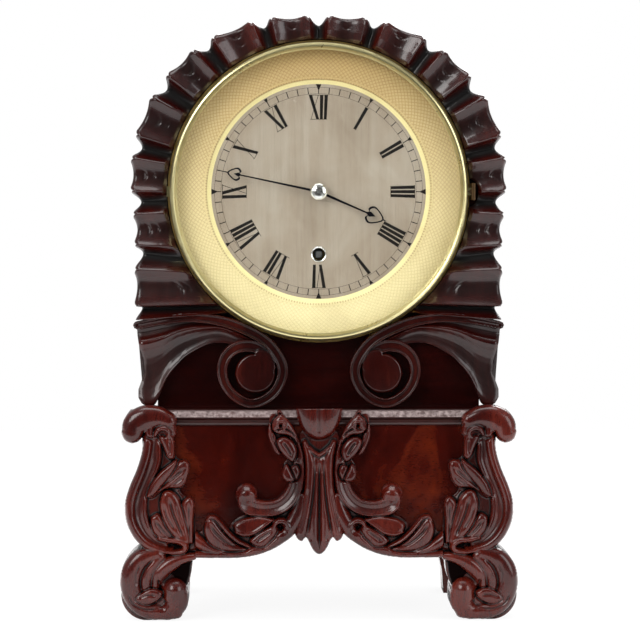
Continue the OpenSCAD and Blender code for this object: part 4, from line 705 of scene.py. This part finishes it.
def apron_carving(r):
    """Scrolls and leaves from the left console to the middle."""
    r.ground([(-72, 38), (-72, 50), (-67, 50), (-64.6, 56), (-61, 59), (-56.6, 55), (-52, 51), (-49.6, 55), (-45, 58.6),
            (-37, 61), (-24, 62), (-14, 70), (-10, 84), (-9, 98), (-6, 92), (-7, 76), (-10, 62), (-17, 50.6),
            (-27, 43.4), (-40, 39), (-58, 37.2)], 3.2)
    r.stroke([(-75, 54.6), (-71.8, 47.8), (-66, 43.2), (-58, 40.2), (-49, 38.4)], [2, 3.8, 3.4, 2.4, 1.6],
            [8, 9, 9, 8.6, 8])
    # Lower edge of the case front, which swells into the fan beside the drop
    r.stroke([(-72.6, 37.8), (-60, 37.6), (-50.4, 37.6), (-40, 39.2), (-31, 42.4), (-23.6, 46.8), (-17, 52.6),
            (-12.6, 60), (-10, 70)], [2.2, 2.2, 2.2, 2.8, 3.6, 4.2, 4.8, 4.6, 3], [8, 8, 8, 8.2, 8.6, 8.8, 8.8, 8.6, 8],
            soft=1.0)
    r.groove([(-58, 38.8), (-45, 40), (-35, 43.4), (-27, 48)], 0.6, 1.3)
    # Hook scroll with its rolled end
    r.stroke([(-40.8, 69.6), (-40.2, 66), (-36, 64), (-29.6, 63.4), (-22.4, 65), (-16.8, 69.6), (-13.4, 76.6),
            (-11.8, 86), (-12.2, 95.6), (-14.8, 104), (-18.4, 111), (-22.6, 118)],
            [5.6, 5.4, 4.8, 4.6, 4.6, 4.4, 3.8, 3.1, 2.7, 2.3, 2.1, 1.4],
            [9, 8.8, 8.6, 8.8, 9.2, 9, 8.6, 8.2, 8, 8.2, 8.4, 7.6], scoop_profile)
    r.stroke([(-41.2, 71.4), (-41, 71.6)], [6.2, 6.2], [9.6, 9.6], ball_profile, 1.6)
    # Low leaves, the far ones first
    r.leaf([(-65, 50.6), (-64.4, 55.6), (-62, 58.7), (-59, 57.3), (-56, 53.1), (-51.8, 48), (-46.8, 43.3), (-41, 40.4),
            (-49.5, 39.2), (-57.9, 41), (-63, 44.8)], 8.4, 2.8, (-0.03, 0.06))
    r.groove([(-61.6, 55), (-58, 49.6), (-51.6, 44.2), (-45, 41.4)], 0.7, 1.4)
    r.stroke([(-63.6, 57.2), (-61.6, 59.2), (-58, 58), (-54.6, 53.8), (-50.4, 49), (-45.4, 45), (-39.6, 42.2)],
            [0.9, 1.3, 1.5, 1.5, 1.5, 1.4, 1], [8.6, 9.4, 9.6, 9.4, 9.2, 8.8, 8], soft=0.5)
    r.leaf([(-39.4, 45.4), (-34.9, 50.3), (-30.1, 52.6), (-25.9, 54.5), (-23.3, 52.2), (-24.8, 48.4), (-27.5, 45.5),
            (-31.3, 42.1), (-36, 42.3)], 8.6, 2.6, (0.04, 0))
    r.groove([(-35.6, 45), (-31.6, 48), (-27.4, 51)], 0.6, 1.1)
    r.leaf([(-48.4, 54.4), (-45.6, 57), (-40, 58.7), (-33.5, 59.3), (-26.3, 57.6), (-30.9, 53.3), (-38.1, 49),
            (-43.4, 47.9), (-47.2, 50.4)], 9, 3, (0, -0.08))
    r.stroke([(-46.8, 50.4), (-42.6, 49.4), (-37, 50.6), (-31.4, 54.2), (-26.4, 57.4)], [1, 1.7, 1.9, 1.6, 0.9],
            [9, 9.8, 9.8, 9.6, 8.6], soft=0.6)
    # Rolled eye
    r.stroke([(-26.2, 52.6), (-24.2, 56), (-20.6, 56.6), (-17.6, 54.2), (-17.6, 50.4), (-20.2, 48), (-23.6, 48.4)],
            [1.5, 1.9, 2, 2, 2, 1.8, 1.4], [9, 9.5, 9.5, 9.5, 9.3, 9, 8.6], soft=0.6)
    r.groove([(-22.6, 52), (-21.4, 52.2), (-20.6, 51.8)], 1.3, 5.4)
    r.soften()


def top_leaves(r):
    """Leaf cluster that hangs from the hook scroll's top, and its bud."""
    r.ground([(-27, 117), (-28.6, 109), (-27.6, 102), (-25, 96), (-21, 94.4), (-18, 92), (-20.6, 87.4), (-20, 80.6),
            (-14, 80.4), (-11.4, 90), (-12, 100), (-15, 108), (-21, 115)], 3.4)
    r.leaf([(-27.9, 111.5), (-25.8, 107), (-23.6, 101.3), (-21.9, 94.4), (-24.6, 95.2), (-26.9, 99.5), (-28.6, 103.7),
            (-29, 107.9)], 7.8, 2.4)
    r.groove([(-26.8, 107.6), (-25.6, 102), (-23.6, 97)], 0.5, 0.9)
    r.leaf([(-26, 113.4), (-22, 117), (-17.2, 113.4), (-13.6, 107.4), (-12.4, 101), (-14.6, 103.4), (-18.4, 105.4),
            (-23, 106), (-26.4, 108.6)], 8.8, 2.8)
    r.leaf([(-23.7, 102.9), (-20, 104.4), (-15.6, 102.3), (-12.8, 97.8), (-13, 93.4), (-15.1, 90.1), (-18.5, 92.4),
            (-21.8, 95.9), (-23.9, 100.1)], 8.8, 3, (0.04, 0.03))
    r.groove([(-20.8, 101.6), (-18, 98), (-15.6, 93.4)], 0.7, 1.2)
    r.groove([(-25.4, 107.4), (-20.4, 109.2), (-15.6, 107), (-12.8, 103)], 0.6, 1.7)
    r.stroke([(-24.8, 110), (-23.6, 112.6), (-20.6, 113), (-18.8, 110.8), (-20.4, 108.6)], [1.1, 1.4, 1.4, 1.3, 1],
            [9.2, 9.6, 9.6, 9.4, 9], soft=0.5)
    r.groove([(-22.6, 110.6), (-21, 110.8)], 0.9, 4.6)
    r.leaf([(-16.4, 86.6), (-12.8, 88.4), (-10.9, 85.1), (-11.9, 81.3), (-14.2, 79.9)], 8.4, 2)
    r.leaf([(-20.4, 86.6), (-18.3, 88.9), (-16.1, 85.3), (-14, 80.1), (-16.6, 79), (-19.2, 79.5), (-21, 82.6)], 9, 2.2)


def drop_carving(r):
    """Centre drop: glossy shield, collar and fluted fan, drawn whole."""
    r.ground([(-10.4, 106), (0, 112), (10.4, 106), (10.4, 92), (9, 82), (10, 70), (13, 54), (12.6, 47), (9.8, 45.6),
            (6.8, 47), (3.6, 41), (0, 39.4), (-3.6, 41), (-6.8, 47), (-9.8, 45.6), (-12.6, 47), (-13, 54), (-10, 70),
            (-9, 82), (-10.4, 92)], 3.2)
    half = [(9.4, 100), (8.3, 92), (7.7, 82), (8.6, 72), (10.8, 62), (13, 54.4), (13.8, 49.2), (12.2, 46), (9.8, 44.8),
            (7.8, 47), (6.4, 45.4), (5, 42.4), (3, 39.2)]
    fan = [(-x, z) for x, z in half] + [(0, 37.4)] + half[::-1] + [(5, 97.4), (0, 93.8), (-5, 97.4)]
    r.leaf(fan, 8.4, 4.4, rim=0.62, cut=0)
    for s in (-1, 1):
        r.stroke([(s * 8.2, 101), (s * 5.8, 94), (s * 5, 84), (s * 5.6, 73), (s * 7.6, 61), (s * 9.8, 50)],
                [1.6, 2.8, 3.2, 3.4, 3.4, 2.8], [8.6, 9.3, 9.4, 9.4, 9.2, 8.6], soft=2.6)
        r.stroke([(s * 1.6, 84), (s * 2, 72), (s * 3.2, 58), (s * 3, 46)], [0.8, 1.6, 2.6, 2], [8.4, 9, 9.3, 8.8],
                soft=2.4)
        r.groove([(s * 2.4, 90), (s * 3, 78), (s * 4.2, 66), (s * 6, 55), (s * 7.4, 46.6)], 0.8, 1.5)
        r.groove([(s * 6.2, 76), (s * 8, 66), (s * 10, 56), (s * 11.6, 48.6)], 0.7, 0.9)
    r.groove([(0, 93), (0, 76), (0, 56), (0, 37)], 0.8, 2.0)
    for s in (-1, 1):
        r.stroke([(s * 5.6, 98.4), (s * 3, 95.8), (0, 94)], [1, 1.2, 1.3], [8.8, 9.2, 9.2], soft=0.5)
    r.bowl((0, 120.6), (13.2, 18), 10, 0.35)
    r.groove([(0, 123), (0, 113), (0, 104.6)], 1.8, 1.1)
    r.soften(2)


def console_back(x, z):
    """Beside and below the base the console reaches back to the front board."""
    deep = (np.abs(x) > CARCASS_W + 0.3) | (z < CARCASS_LOW - 0.2)
    over = z > BASE_TOP - 0.4
    return np.where(deep & ~over, BOARD_Y + CONSOLE_REACH, PANEL_Y - GLUE)


def apron_back(x, z):
    """The upper leaves lie on the base moulding, which stands before the panel."""
    return np.where(z > MOULDING_LOW, PANEL_Y - LIP, PANEL_Y - GLUE)


def relief_piece(name, made, node, finish=CARVED, crease=None):
    verts, faces, hollow = made
    piece(name, verts, faces, finish, "mahogany", node, hollow, crease=crease)


# Half of the arch from its spring to the middle: x and the rise over the lower edge
ARCH = [(52, 0), (46, 0.4), (39.5, 2), (32, 4.6), (25, 7.8), (19, 11), (13, 13.4), (6, 14)]
# Thickness of the carcass's floor and walls, and the least rise of the panel's edge over the carcass's
FLOOR_T = 3.6
WALL = 10.0
PANEL_RISE = 2.0


def arched(low):
    """Lower edge of the case front from left to right, hollowed between the scrolls."""
    left = [(-CARCASS_W, CARCASS_LOW + low)] + [(-x, CARCASS_LOW + max(rise, low)) for x, rise in ARCH]
    return left + [(-x, z) for x, z in left[::-1]]


def base_front():
    """The figured panel and the carcass behind it, both cut to the arch, with the carcass open above its floor."""
    for name, low, front, rear, finish, node in (
            ("figured_panel", PANEL_RISE, PANEL_Y, CARCASS_Y, PANEL, "base_panel"),
            ("arched_carcass", 0, CARCASS_Y, CARCASS_BACK, CASE, "base_carcass")):
        rings = [[(x, front, z), (x, rear, z), (x, rear, CARCASS_TOP), (x, front, CARCASS_TOP)] for x, z in arched(low)]
        verts, faces = loft(rings)
        if node == "base_carcass":
            well = len(verts)
            del faces[2:well - 4:4]
            for z in (CARCASS_TOP, CARCASS_LOW + ARCH[-1][1] + FLOOR_T):
                verts += [(x, y, z) for x, y in ((WALL - CARCASS_W, front + WALL), (CARCASS_W - WALL, front + WALL),
                                                 (CARCASS_W - WALL, rear - WALL), (WALL - CARCASS_W, rear - WALL))]
            faces += [(*range(3, well, 4), well + 1, well), (*range(well - 2, 0, -4), well + 3, well + 2),
                      (2, 3, well, well + 3), (well - 1, well - 2, well + 2, well + 1)]
            faces += [(well + k, well + (k + 1) % 4, well + 4 + (k + 1) % 4, well + 4 + k) for k in range(4)]
            faces.append(tuple(range(well + 4, well + 8)))
        piece(name, verts, faces, finish, "mahogany", node, smooth=False)


MOULDING_W = 86


def base_moulding():
    """Bead, quirk and sloping ledge along the front edge of the base's top; d is the distance before the panel."""
    bead = [(0.2, 0), (1.2, 0.1), (1.9, 0.7), (2.2, 1.7), (2.0, 2.8), (1.3, 3.6), (0.7, 3.9), (0.7, 4.3), (2.5, 4.4),
            (2.74, 4.7), (2.7, 5.1)]
    ledge = [(2.2, -2.4), (1.2, -0.9), (-0.4, 0.06), (-6, 0.1), (-6, -1)]
    profile = [(d, MOULDING_FOOT + z) for d, z in bead] + [(d, BASE_TOP + z) for d, z in ledge]
    profile += [(-0.5, MOULDING_FOOT + 3), (-0.5, MOULDING_FOOT)]
    rings = [[(x, PANEL_Y - d, z) for d, z in profile] for x in np.linspace(-MOULDING_W, MOULDING_W, 25)]
    piece("base_moulding", *loft(rings), LEDGE, "mahogany", crease=40)


SIDES = (("left", False), ("right", True))
# Where the carvings end: distances from the middle, and the height of the drop's top
CONSOLE_IN = 69.8
APRON_OUT = 69.9
APRON_IN = 5.2
DROP_TOP = 120.2


def carve_front():
    """Both consoles, both aprons and the drop, each standing for its node."""
    console = Relief((-113, 0), (-69, 124))
    foot_and_console(console)
    console.clip(lambda x, z: np.minimum(z, -CONSOLE_IN - x))
    apron = Relief((-80, 34), (-3, 121))
    apron_carving(apron)
    top_leaves(apron)
    apron.clip(lambda x, z: np.minimum(x + APRON_OUT, -APRON_IN - x))
    for side, mirror in SIDES:
        relief_piece("carved_console_" + side, console.mesh(PANEL_Y, console_back, 2.5, mirror), "console_" + side)
        relief_piece("carved_apron_" + side, apron.mesh(PANEL_Y, apron_back, LIP + 0.4, mirror), "apron_" + side)
    drop = Relief((-17, 37), (17, 123), 0.35)
    drop_carving(drop)
    drop.clip(lambda x, z: DROP_TOP - z)
    relief_piece("carved_drop", drop.mesh(PANEL_Y, apron_back, LIP + 0.4), "centre_drop")


# Scalloped surround: flutes and scoops between ridges at these angles from the top, on both sides
RIDGES = [3.4, 15.3, 21.7, 34.4, 41.8, 52.3, 60.6, 72.6, 79.9, 89.7, 97, 106, 113, 121.9, 125]
SURROUND_IN = 86.4
# Room for the bezel's hinge, and the degrees to each side of it
HINGE_CLEAR = 4.4
HINGE_SPAN = 5
# How deep a scoop dips as a share of the height, how far the rim dips there, and the form of the hollow
SCOOP_SHARE = 0.62
SCOOP_NOTCH = 2.6
SCOOP_FORM = 0.62
FLUTE_NOTCH = 6.0
FLUTE_FORM = 0.8
# Depth of the flutes, what stays of it at their bottom, and the height of the ridges over the board
FLUTE_D = 7.5
FLUTE_FLOOR = 0.12
CREST = 10.0
# Outline of the ridges: the crown's radius and swell, and the half width of the sides and its loss below
CROWN_R = 100
CROWN_SWELL = 4.9
SCALLOP_W = 107.5
SIDE_TAPER = 1.9
# How much the tip of a ridge is rounded off and how near to it, and the width and share of the eased rim
CORNER = 1.9
CORNER_REACH = 2.4
RIM_EDGE = 2.2
RIM_ROUND = 0.42
# Above this share of the height the surround is rubbed bright, and below it painted shade darkens it
RUBBED = 0.7

# Crescent gouges in a scoop: place across it, distance from the bezel, half width and depth
NICKS = [(0.0, 11.4, 2.2, 0.9), (0.3, 6.6, 1.4, 0.55)]
# How far a gouge bows towards the bezel for its half width, where it ends, and its steep and its easy side
NICK_BOW = 1.3 / 2.2
NICK_END = 1.6
NICK_STEEP = 0.22
NICK_EASY = 0.9

# Rows of points from the bezel to the rim
ROW_T = np.concatenate([np.linspace(0, 0.86, 40), 0.86 + 0.14 * np.sin(np.linspace(0, math.pi / 2, 10))[1:]])


def tip_r(a):
    """Outer radius of the ridges: a crown above and straight sides below."""
    r = math.radians(a)
    if a < 90:
        return CROWN_R + CROWN_SWELL * math.sin(2 * r) + (SCALLOP_W - CROWN_R) * math.sin(r) ** 2
    return (SCALLOP_W - SIDE_TAPER * min((a - 90) / 12, 1)) / math.sin(r)


def inner_r(a, side):
    """Inner radius of the surround, which makes room for the bezel's hinge on the right."""
    return SURROUND_IN + (HINGE_CLEAR * max(0.0, 1 - ((a - 90) / HINGE_SPAN) ** 4) if side > 0 else 0)


def inner_a(a):
    """The lower flutes lean: they meet the bezel further round than the rim."""
    return a if a < 90 else a + 0.06 * (a - 90) ** 1.6


def dip(f, deep, form):
    """Height share across a span: rounded ridges and a hollow between them."""
    return 1 - deep * (0.5 - 0.5 * math.cos(math.pi * (2 * min(f, 1 - f)) ** form))


def flow_lines():
    """Lines from the bezel to the rim: angle, height share, how far the rim dips, and the place across a scoop."""
    lines = []
    places = 0.5 * (1 - np.cos(np.linspace(0, math.pi, 34)))
    for k in range(-1, len(RIDGES) - 1):
        first = -RIDGES[0] if k < 0 else RIDGES[k]
        last = RIDGES[k + 1]
        wide = k >= 0 and k % 2 == 0
        w = math.radians(last - first) * (CROWN_R + SURROUND_IN) / 2
        for f in places[:-1]:
            if k < 0 and f < 0.5:
                continue
            share = dip(f, SCOOP_SHARE, SCOOP_FORM) if wide else dip(f, 1, FLUTE_FORM)
            notch = SCOOP_NOTCH * (1 - share) / SCOOP_SHARE if wide else FLUTE_NOTCH * (1 - share)
            near = min(f, 1 - f) * math.radians(last - first) * CROWN_R
            notch += CORNER * max(0.0, 1 - near / CORNER_REACH) ** 2
            lines.append((first + (last - first) * f, share, notch, (f - 0.5) * w if wide else None))
    lines.append((RIDGES[-1], 1, CORNER, None))
    return [(-a, s, n, None if f is None else -f) for a, s, n, f in lines[:0:-1]] + lines


def nicks(across, out):
    """Depth of the small crescent gouges in a scoop; both arguments are in millimetres."""
    depth = 0.0
    for x, r, half, deep in NICKS:
        u = (across - x) / half
        if abs(u) < NICK_END:
            s = out - r - NICK_BOW * half * u * u
            depth += deep * math.exp(-(s / (NICK_EASY if s > 0 else NICK_STEEP)) ** 2) * (1 - (u / NICK_END) ** 2)
    return depth


def carve_surround():
    # How the relief grows from the bezel to the rim
    swell = np.interp(ROW_T, [0, 0.1, 0.4, 0.75, 0.9, 1], [0.5, 0.7, 0.9, 1, 1, 0.97])
    rings, hollow = [], []
    for a, share, notch, f in flow_lines():
        side = -1 if a < 0 else 1
        b = abs(a)
        p0, p1 = (r * np.array([side * math.sin(math.radians(turn)), math.cos(math.radians(turn))])
                  for r, turn in ((inner_r(b, side), inner_a(b)), (tip_r(b) - notch, b)))
        length = np.linalg.norm(p1 - p0)
        ring = [(p0[0], BOARD_Y, DIAL_Z + p0[1])]
        for t, grown in zip(ROW_T, swell):
            h = CREST - FLUTE_D + FLUTE_D * grown * (FLUTE_FLOOR + (1 - FLUTE_FLOOR) * share)
            from_rim = (1 - t) * length
            if from_rim < RIM_EDGE:
                h -= h * RIM_ROUND * (1 - math.sqrt(max(0.0, 1 - (1 - from_rim / RIM_EDGE) ** 2)))
            if f is not None:
                h -= nicks(f, t * length)
            p = p0 + (p1 - p0) * t
            ring.append((p[0], BOARD_Y - h, DIAL_Z + p[1]))
        rings.append(ring + [(p1[0], BOARD_Y, DIAL_Z + p1[1])])
        # Low in the flutes the hollow value paints shade into the colour
        value = (RUBBED - share) * (0.8 if share < RUBBED else 1)
        hollow += [0.3] + [value] * len(ROW_T) + [0.1]
    relief_piece("scalloped_surround", (*loft(rings, True), hollow), "carved_surround", DEEP, 60)


# Volutes under the dial: x from the middle, z from the dial centre, drawn for the left side

def volute_relief(r):
    """The sweeping ridge, the spiral and its eye."""
    sweep = [(-103.4, -76), (-86, -72.6), (-70, -71.6), (-52, -74.4), (-34.6, -82), (-25.6, -90), (-20.6, -100.6),
             (-23, -110.8), (-30, -118), (-39, -120.6), (-47.8, -116.6), (-53.4, -109.6), (-55.2, -101.6),
             (-53, -94), (-47.4, -89), (-40, -87.6), (-33.4, -89.6), (-29, -94.4), (-28.4, -99)]
    r.stroke([(x, z + DIAL_Z) for x, z in sweep],
            [2.2, 2.4, 2.6, 2.8, 3, 3.2, 3.2, 3.2, 3.2, 3.1, 3, 2.9, 2.9, 2.9, 3, 3.3, 3.7, 3.6, 3],
            [8.4, 8.6, 8.8, 9, 9.4, 9.6, 9.6, 9.6, 9.5, 9.4, 9.3, 9.2, 9, 8.8, 8.6, 8.4, 8, 7.8, 7.6], band_profile,
            0.3)
    eye = (-36.3, -103.4 + DIAL_Z)
    r.stroke([eye, (eye[0] + 0.4, eye[1])], [11.3, 11.3], [8, 8], eye_profile, 0.3)
    r.stroke([(-34, -92.4 + DIAL_Z), (-29.6, -95 + DIAL_Z), (-27.4, -100 + DIAL_Z)], [2.6, 4.4, 3], [7.9, 8, 7.9],
            eye_profile, 0.3)


SCOOP_TOP = [(-103.6, -75.6), (-88, -72.9), (-70.5, -71.3), (-54, -74), (-38, -82.6)]
SCOOP_LOW = [(-98.4, -121.8), (-93.8, -121.6), (-91.2, -117), (-86.9, -106.9), (-81.5, -99.6), (-75.6, -93.6),
             (-64.4, -87.4), (-55.4, -86), (-45, -88)]
# How far the outer end swings out, and the height of the scoop, from its top to its lower edge
SCOOP_END = ([0, 0.13, 0.28, 0.43, 0.58, 0.7, 0.8, 0.9, 0.97, 1],
             [0, -0.4, 0.2, 1.6, 1.4, -1.2, -3.4, -3.9, -2.4, -0.6])
SCOOP_V = [0, 0.02, 0.06, 0.11, 0.16, 0.2, 0.24, 0.28, 0.34, 0.42, 0.5, 0.6, 0.7, 0.8, 0.88, 0.93, 0.97, 0.99, 1]
SCOOP_H = [7.4, 7.2, 5.2, 4, 5.4, 8.2, 9.2, 8.4, 6.8, 5.4, 4.6, 4.2, 4.4, 5, 5.8, 6.5, 6.7, 6.2, 5.2]
SCOOP_FLOOR = 4.6
SCOOP_STEPS = 60


def scoop_panel(mirror):
    """The last scoop, between the sweeping ridge and the lower edge; returns vertices, faces and hollows, which paint
    shade into its low parts.
    """
    top, low = spline(SCOOP_TOP, 24), spline(SCOOP_LOW, 24)
    flip = -1 if mirror else 1
    fine = np.linspace(0, 1, 70)
    profile = np.interp(fine, SCOOP_V, SCOOP_H)
    waves = np.interp(fine, *SCOOP_END)
    rings = []
    for i in range(SCOOP_STEPS + 1):
        t = i / SCOOP_STEPS
        a, b = (line[int(round(t * (len(line) - 1)))] for line in (top, low))
        edge = min(1, 0.45 + i / 5)
        ring = [(flip * a[0], BOARD_Y, DIAL_Z + a[1])]
        for v, h, wave in zip(fine, profile, waves):
            x, z = a + (b - a) * v
            height = (SCOOP_FLOOR + (h - SCOOP_FLOOR) * (1 - 0.45 * t)) * (0.72 + 0.28 * edge)
            ring.append((flip * (x + wave * (1 - t) ** 7), BOARD_Y - height, DIAL_Z + z))
        rings.append(ring + [(flip * b[0], BOARD_Y, DIAL_Z + b[1])])
    # Painted shade: the lower the scoop lies, the darker its colour
    hollow = [0.2] + [0.28 - 0.06 * (h - 4) for h in profile] + [0.2]
    return (*loft(rings, not mirror), hollow * len(rings))


def carve_volutes():
    field = Relief((-107, BASE_TOP), (-15, DIAL_Z - 66))
    volute_relief(field)
    field.clip(lambda x, z: z - BASE_TOP)
    for side, mirror in SIDES:
        made = field.mesh(BOARD_Y, lambda x, z: np.full_like(x, BOARD_Y), 2.0, mirror)
        relief_piece("spiral_volute_" + side, made, "volute_" + side, DEEP)
        relief_piece("swept_scoop_" + side, scoop_panel(mirror), "volute_" + side, DEEP, 60)


# Figures and minute track of the dial

HOURS = ["XII", "I", "II", "III", "IIII", "V", "VI", "VII", "VIII", "IX", "X", "XI"]
# Radii between which the figures stand; the collet of the winding hole cuts the lower end of one short
FIGURE_LOW = 41.0
FIGURE_HIGH = 55.0
COLLET_EDGE = 41.6
THICK = 1.9
THIN = 0.32
SERIF = 0.3
WIDTHS = {"I": 2.6, "V": 5.6, "X": 6.1}
TRACK_IN = 55.6
TRACK_OUT = 59.3
TRACK_LINES = ((55.55, 55.7), (59.2, 59.35))
TICK_HALF = 0.24 / 57
# The wedge on every fifth minute and on the quarters: half width, radius of its base and of its tip
FIFTH_WEDGE = (1.15, 60.7, 57.8)
QUARTER_WEDGE = (1.6, 61.1, 57.2)
# Share of its width that a figure keeps at its foot, and how far the filling lies over the dial
FIGURE_FOOT = 0.86
FIGURE_LIFT, TICK_LIFT, LINE_LIFT = 0.06, 0.055, 0.05


def bar(a, b, w):
    """A stroke from a to b, cut square to the baseline, of that width across."""
    return [(a[0] - w / 2, a[1]), (a[0] + w / 2, a[1]), (b[0] + w / 2, b[1]), (b[0] - w / 2, b[1])]


def letter(kind, left, high):
    """The strokes of one figure letter whose box starts at left."""
    right = left + WIDTHS[kind]
    mid = (left + right) / 2
    if kind == "I":
        return [bar((mid, 0), (mid, high), THICK)]
    if kind == "V":
        return [bar((mid + 0.15, 0), (left + 0.95, high), THICK), bar((mid + 0.3, 0), (right - 0.6, high), THIN)]
    return [bar((right - 1.0, 0), (left + 0.95, high), THICK), bar((left + 0.55, 0), (right - 0.6, high), THIN)]


def numeral(text):
    """Strokes and serifs of an hour figure, centred, in across and up."""
    half = sum(WIDTHS[c] for c in text) / 2
    high = FIGURE_HIGH - FIGURE_LOW
    left = -half
    shapes = []
    for c in text:
        shapes += letter(c, left, high)
        left += WIDTHS[c]
    for level in (0, high - SERIF):
        ends = (0.1 - half, half - 0.1)
        shapes.append([(x, level) for x in ends] + [(x, level + SERIF) for x in ends[::-1]])
    return shapes


def polar(r, a, lift, across=0.0):
    """A point above the dial at a radius and an angle from the top, moved across the radius."""
    return (r * math.sin(a) + across * math.cos(a), DIAL_Y - lift, DIAL_Z + r * math.cos(a) - across * math.sin(a))


def sector(low, high, a, b, lift):
    return [polar(low, a, lift), polar(low, b, lift), polar(high, b, lift), polar(high, a, lift)]


def inlay(name, shapes):
    """A piece of the black filling, made of flat shapes."""
    verts, faces = [], []
    for shape in shapes:
        faces.append(tuple(range(len(verts), len(verts) + len(shape)))[::-1])
        verts += shape
    piece(name, verts, faces, INK, "blued", smooth=False)


def dial_figures():
    figures = []
    for hour, text in enumerate(HOURS):
        low = COLLET_EDGE if hour == 6 else FIGURE_LOW
        for shape in numeral(text):
            figures.append([polar(max(FIGURE_LOW + up, low), math.radians(30 * hour), FIGURE_LIFT,
                                  across * np.interp(up, [0, FIGURE_HIGH - FIGURE_LOW], [FIGURE_FOOT, 1]))
                            for across, up in shape])
    inlay("hour_figures", figures)
    track = [sector(low, high, math.radians(i), math.radians(i + 2), LINE_LIFT)
             for low, high in TRACK_LINES for i in range(0, 360, 2)]
    for i in range(60):
        a = math.radians(6 * i)
        track.append(sector(TRACK_IN, TRACK_OUT, a - TICK_HALF, a + TICK_HALF, TICK_LIFT))
        if i % 5 == 0:
            half, top, tip = FIFTH_WEDGE if i % 15 else QUARTER_WEDGE
            corners = ((top, a + half / top), (top, a - half / top), (tip, a))
            track.append([polar(r, b, FIGURE_LIFT) for r, b in corners])
    inlay("minute_track", track)


# Stage, light and camera; places in metres
# The strength of the fill, the lens's x, its distance before the front, the width it sees there, and its target
FILL = 1.38
LENS_X = -0.028
LENS_AWAY = 1.449
VIEW_WIDTH = 0.359
AIM_X, AIM_Z = 0.0003, 0.1705


def stage():
    """A pale floor, nearly white where it is seen and grey for the light that it sends back."""
    mesh = bpy.data.meshes.new("floor")
    mesh.from_pydata([(x, y, 0) for y in (-0.32, 1.1) for x in (-3, 3)], [], [(0, 1, 3, 2)])
    add("floor", mesh)
    s = Shader("pale_floor")
    soft = s.node("ShaderNodeBsdfDiffuse", [("Color", (0.82, 0.82, 0.82))])
    bright = s.node("ShaderNodeEmission", [("Color", (1, 1, 1)), ("Strength", 1.0)])
    rays = s.node("ShaderNodeLightPath").outputs
    s.shows(s.either(rays["Is Camera Ray"], soft, s.either(0.9, soft, bright)))
    mesh.materials.append(s.material)


def aim(obj, place, target):
    """Puts a lamp or camera at a place and turns it to look at a point."""
    obj.location = place
    obj.rotation_euler = (Vector(target) - obj.location).to_track_quat("-Z", "Y").to_euler()


def soft_box(name, place, target, size, power, colour=(1, 1, 1)):
    lamp = bpy.data.lights.new(name, "AREA")
    lamp.shape = "RECTANGLE"
    lamp.size, lamp.size_y = size
    lamp.energy = power
    lamp.color = colour
    aim(add(name, lamp), place, target)


def light():
    """Even light with four soft boxes. Reflections see a white tent on every side but the lens's, which is dark."""
    world = bpy.data.worlds.new("studio")
    bpy.context.scene.world = world
    w = Tree(world)
    rays = w.node("ShaderNodeLightPath").outputs
    shown = w.node("ShaderNodeBackground", [(0, (1, 1, 1)), (1, 1.0)])
    fill = w.node("ShaderNodeBackground", [(0, (1, 1, 1)), (1, FILL)])
    depth = w.axes(w.node("ShaderNodeTexCoord").outputs["Generated"])[1]
    tent = w.node("ShaderNodeBackground", [(1, w.span(depth, 0.01, 0.5, -0.9, -0.4, "SMOOTHSTEP"))])
    mixed = w.either(rays["Is Camera Ray"], w.either(rays["Is Glossy Ray"], fill, tent), shown)
    w.node("ShaderNodeOutputWorld", [(0, mixed.outputs[0])])
    soft_box("key", (-0.95, -1.15, 0.95), (0, 0, 0.2), (0.7, 0.9), 18, (1, 0.985, 0.97))
    soft_box("fill", (1.15, -1.0, 0.55), (0, 0, 0.18), (0.6, 1.0), 8, (0.98, 0.99, 1))
    soft_box("top", (0.0, -0.1, 1.3), (0, -0.02, 0.2), (1.2, 0.6), 10)
    soft_box("back", (0.3, 1.2, 0.8), (0, 0.05, 0.2), (0.9, 0.6), 8)


def camera():
    """The photograph's view: a little to the left of the middle and level with the dial."""
    lens = bpy.data.cameras.new("camera")
    lens.sensor_width = 36
    lens.lens = lens.sensor_width * LENS_AWAY / VIEW_WIDTH
    obj = add("camera", lens)
    aim(obj, (LENS_X, FRONT_Y * MM - LENS_AWAY, DIAL_Z * MM), (AIM_X, FRONT_Y * MM, AIM_Z))
    bpy.context.scene.camera = obj


finish_nodes()
carve_surround()
carve_volutes()
base_front()
base_moulding()
carve_front()
dial_figures()
stage()
light()
camera()
bpy.context.scene.view_settings.view_transform = "Standard"
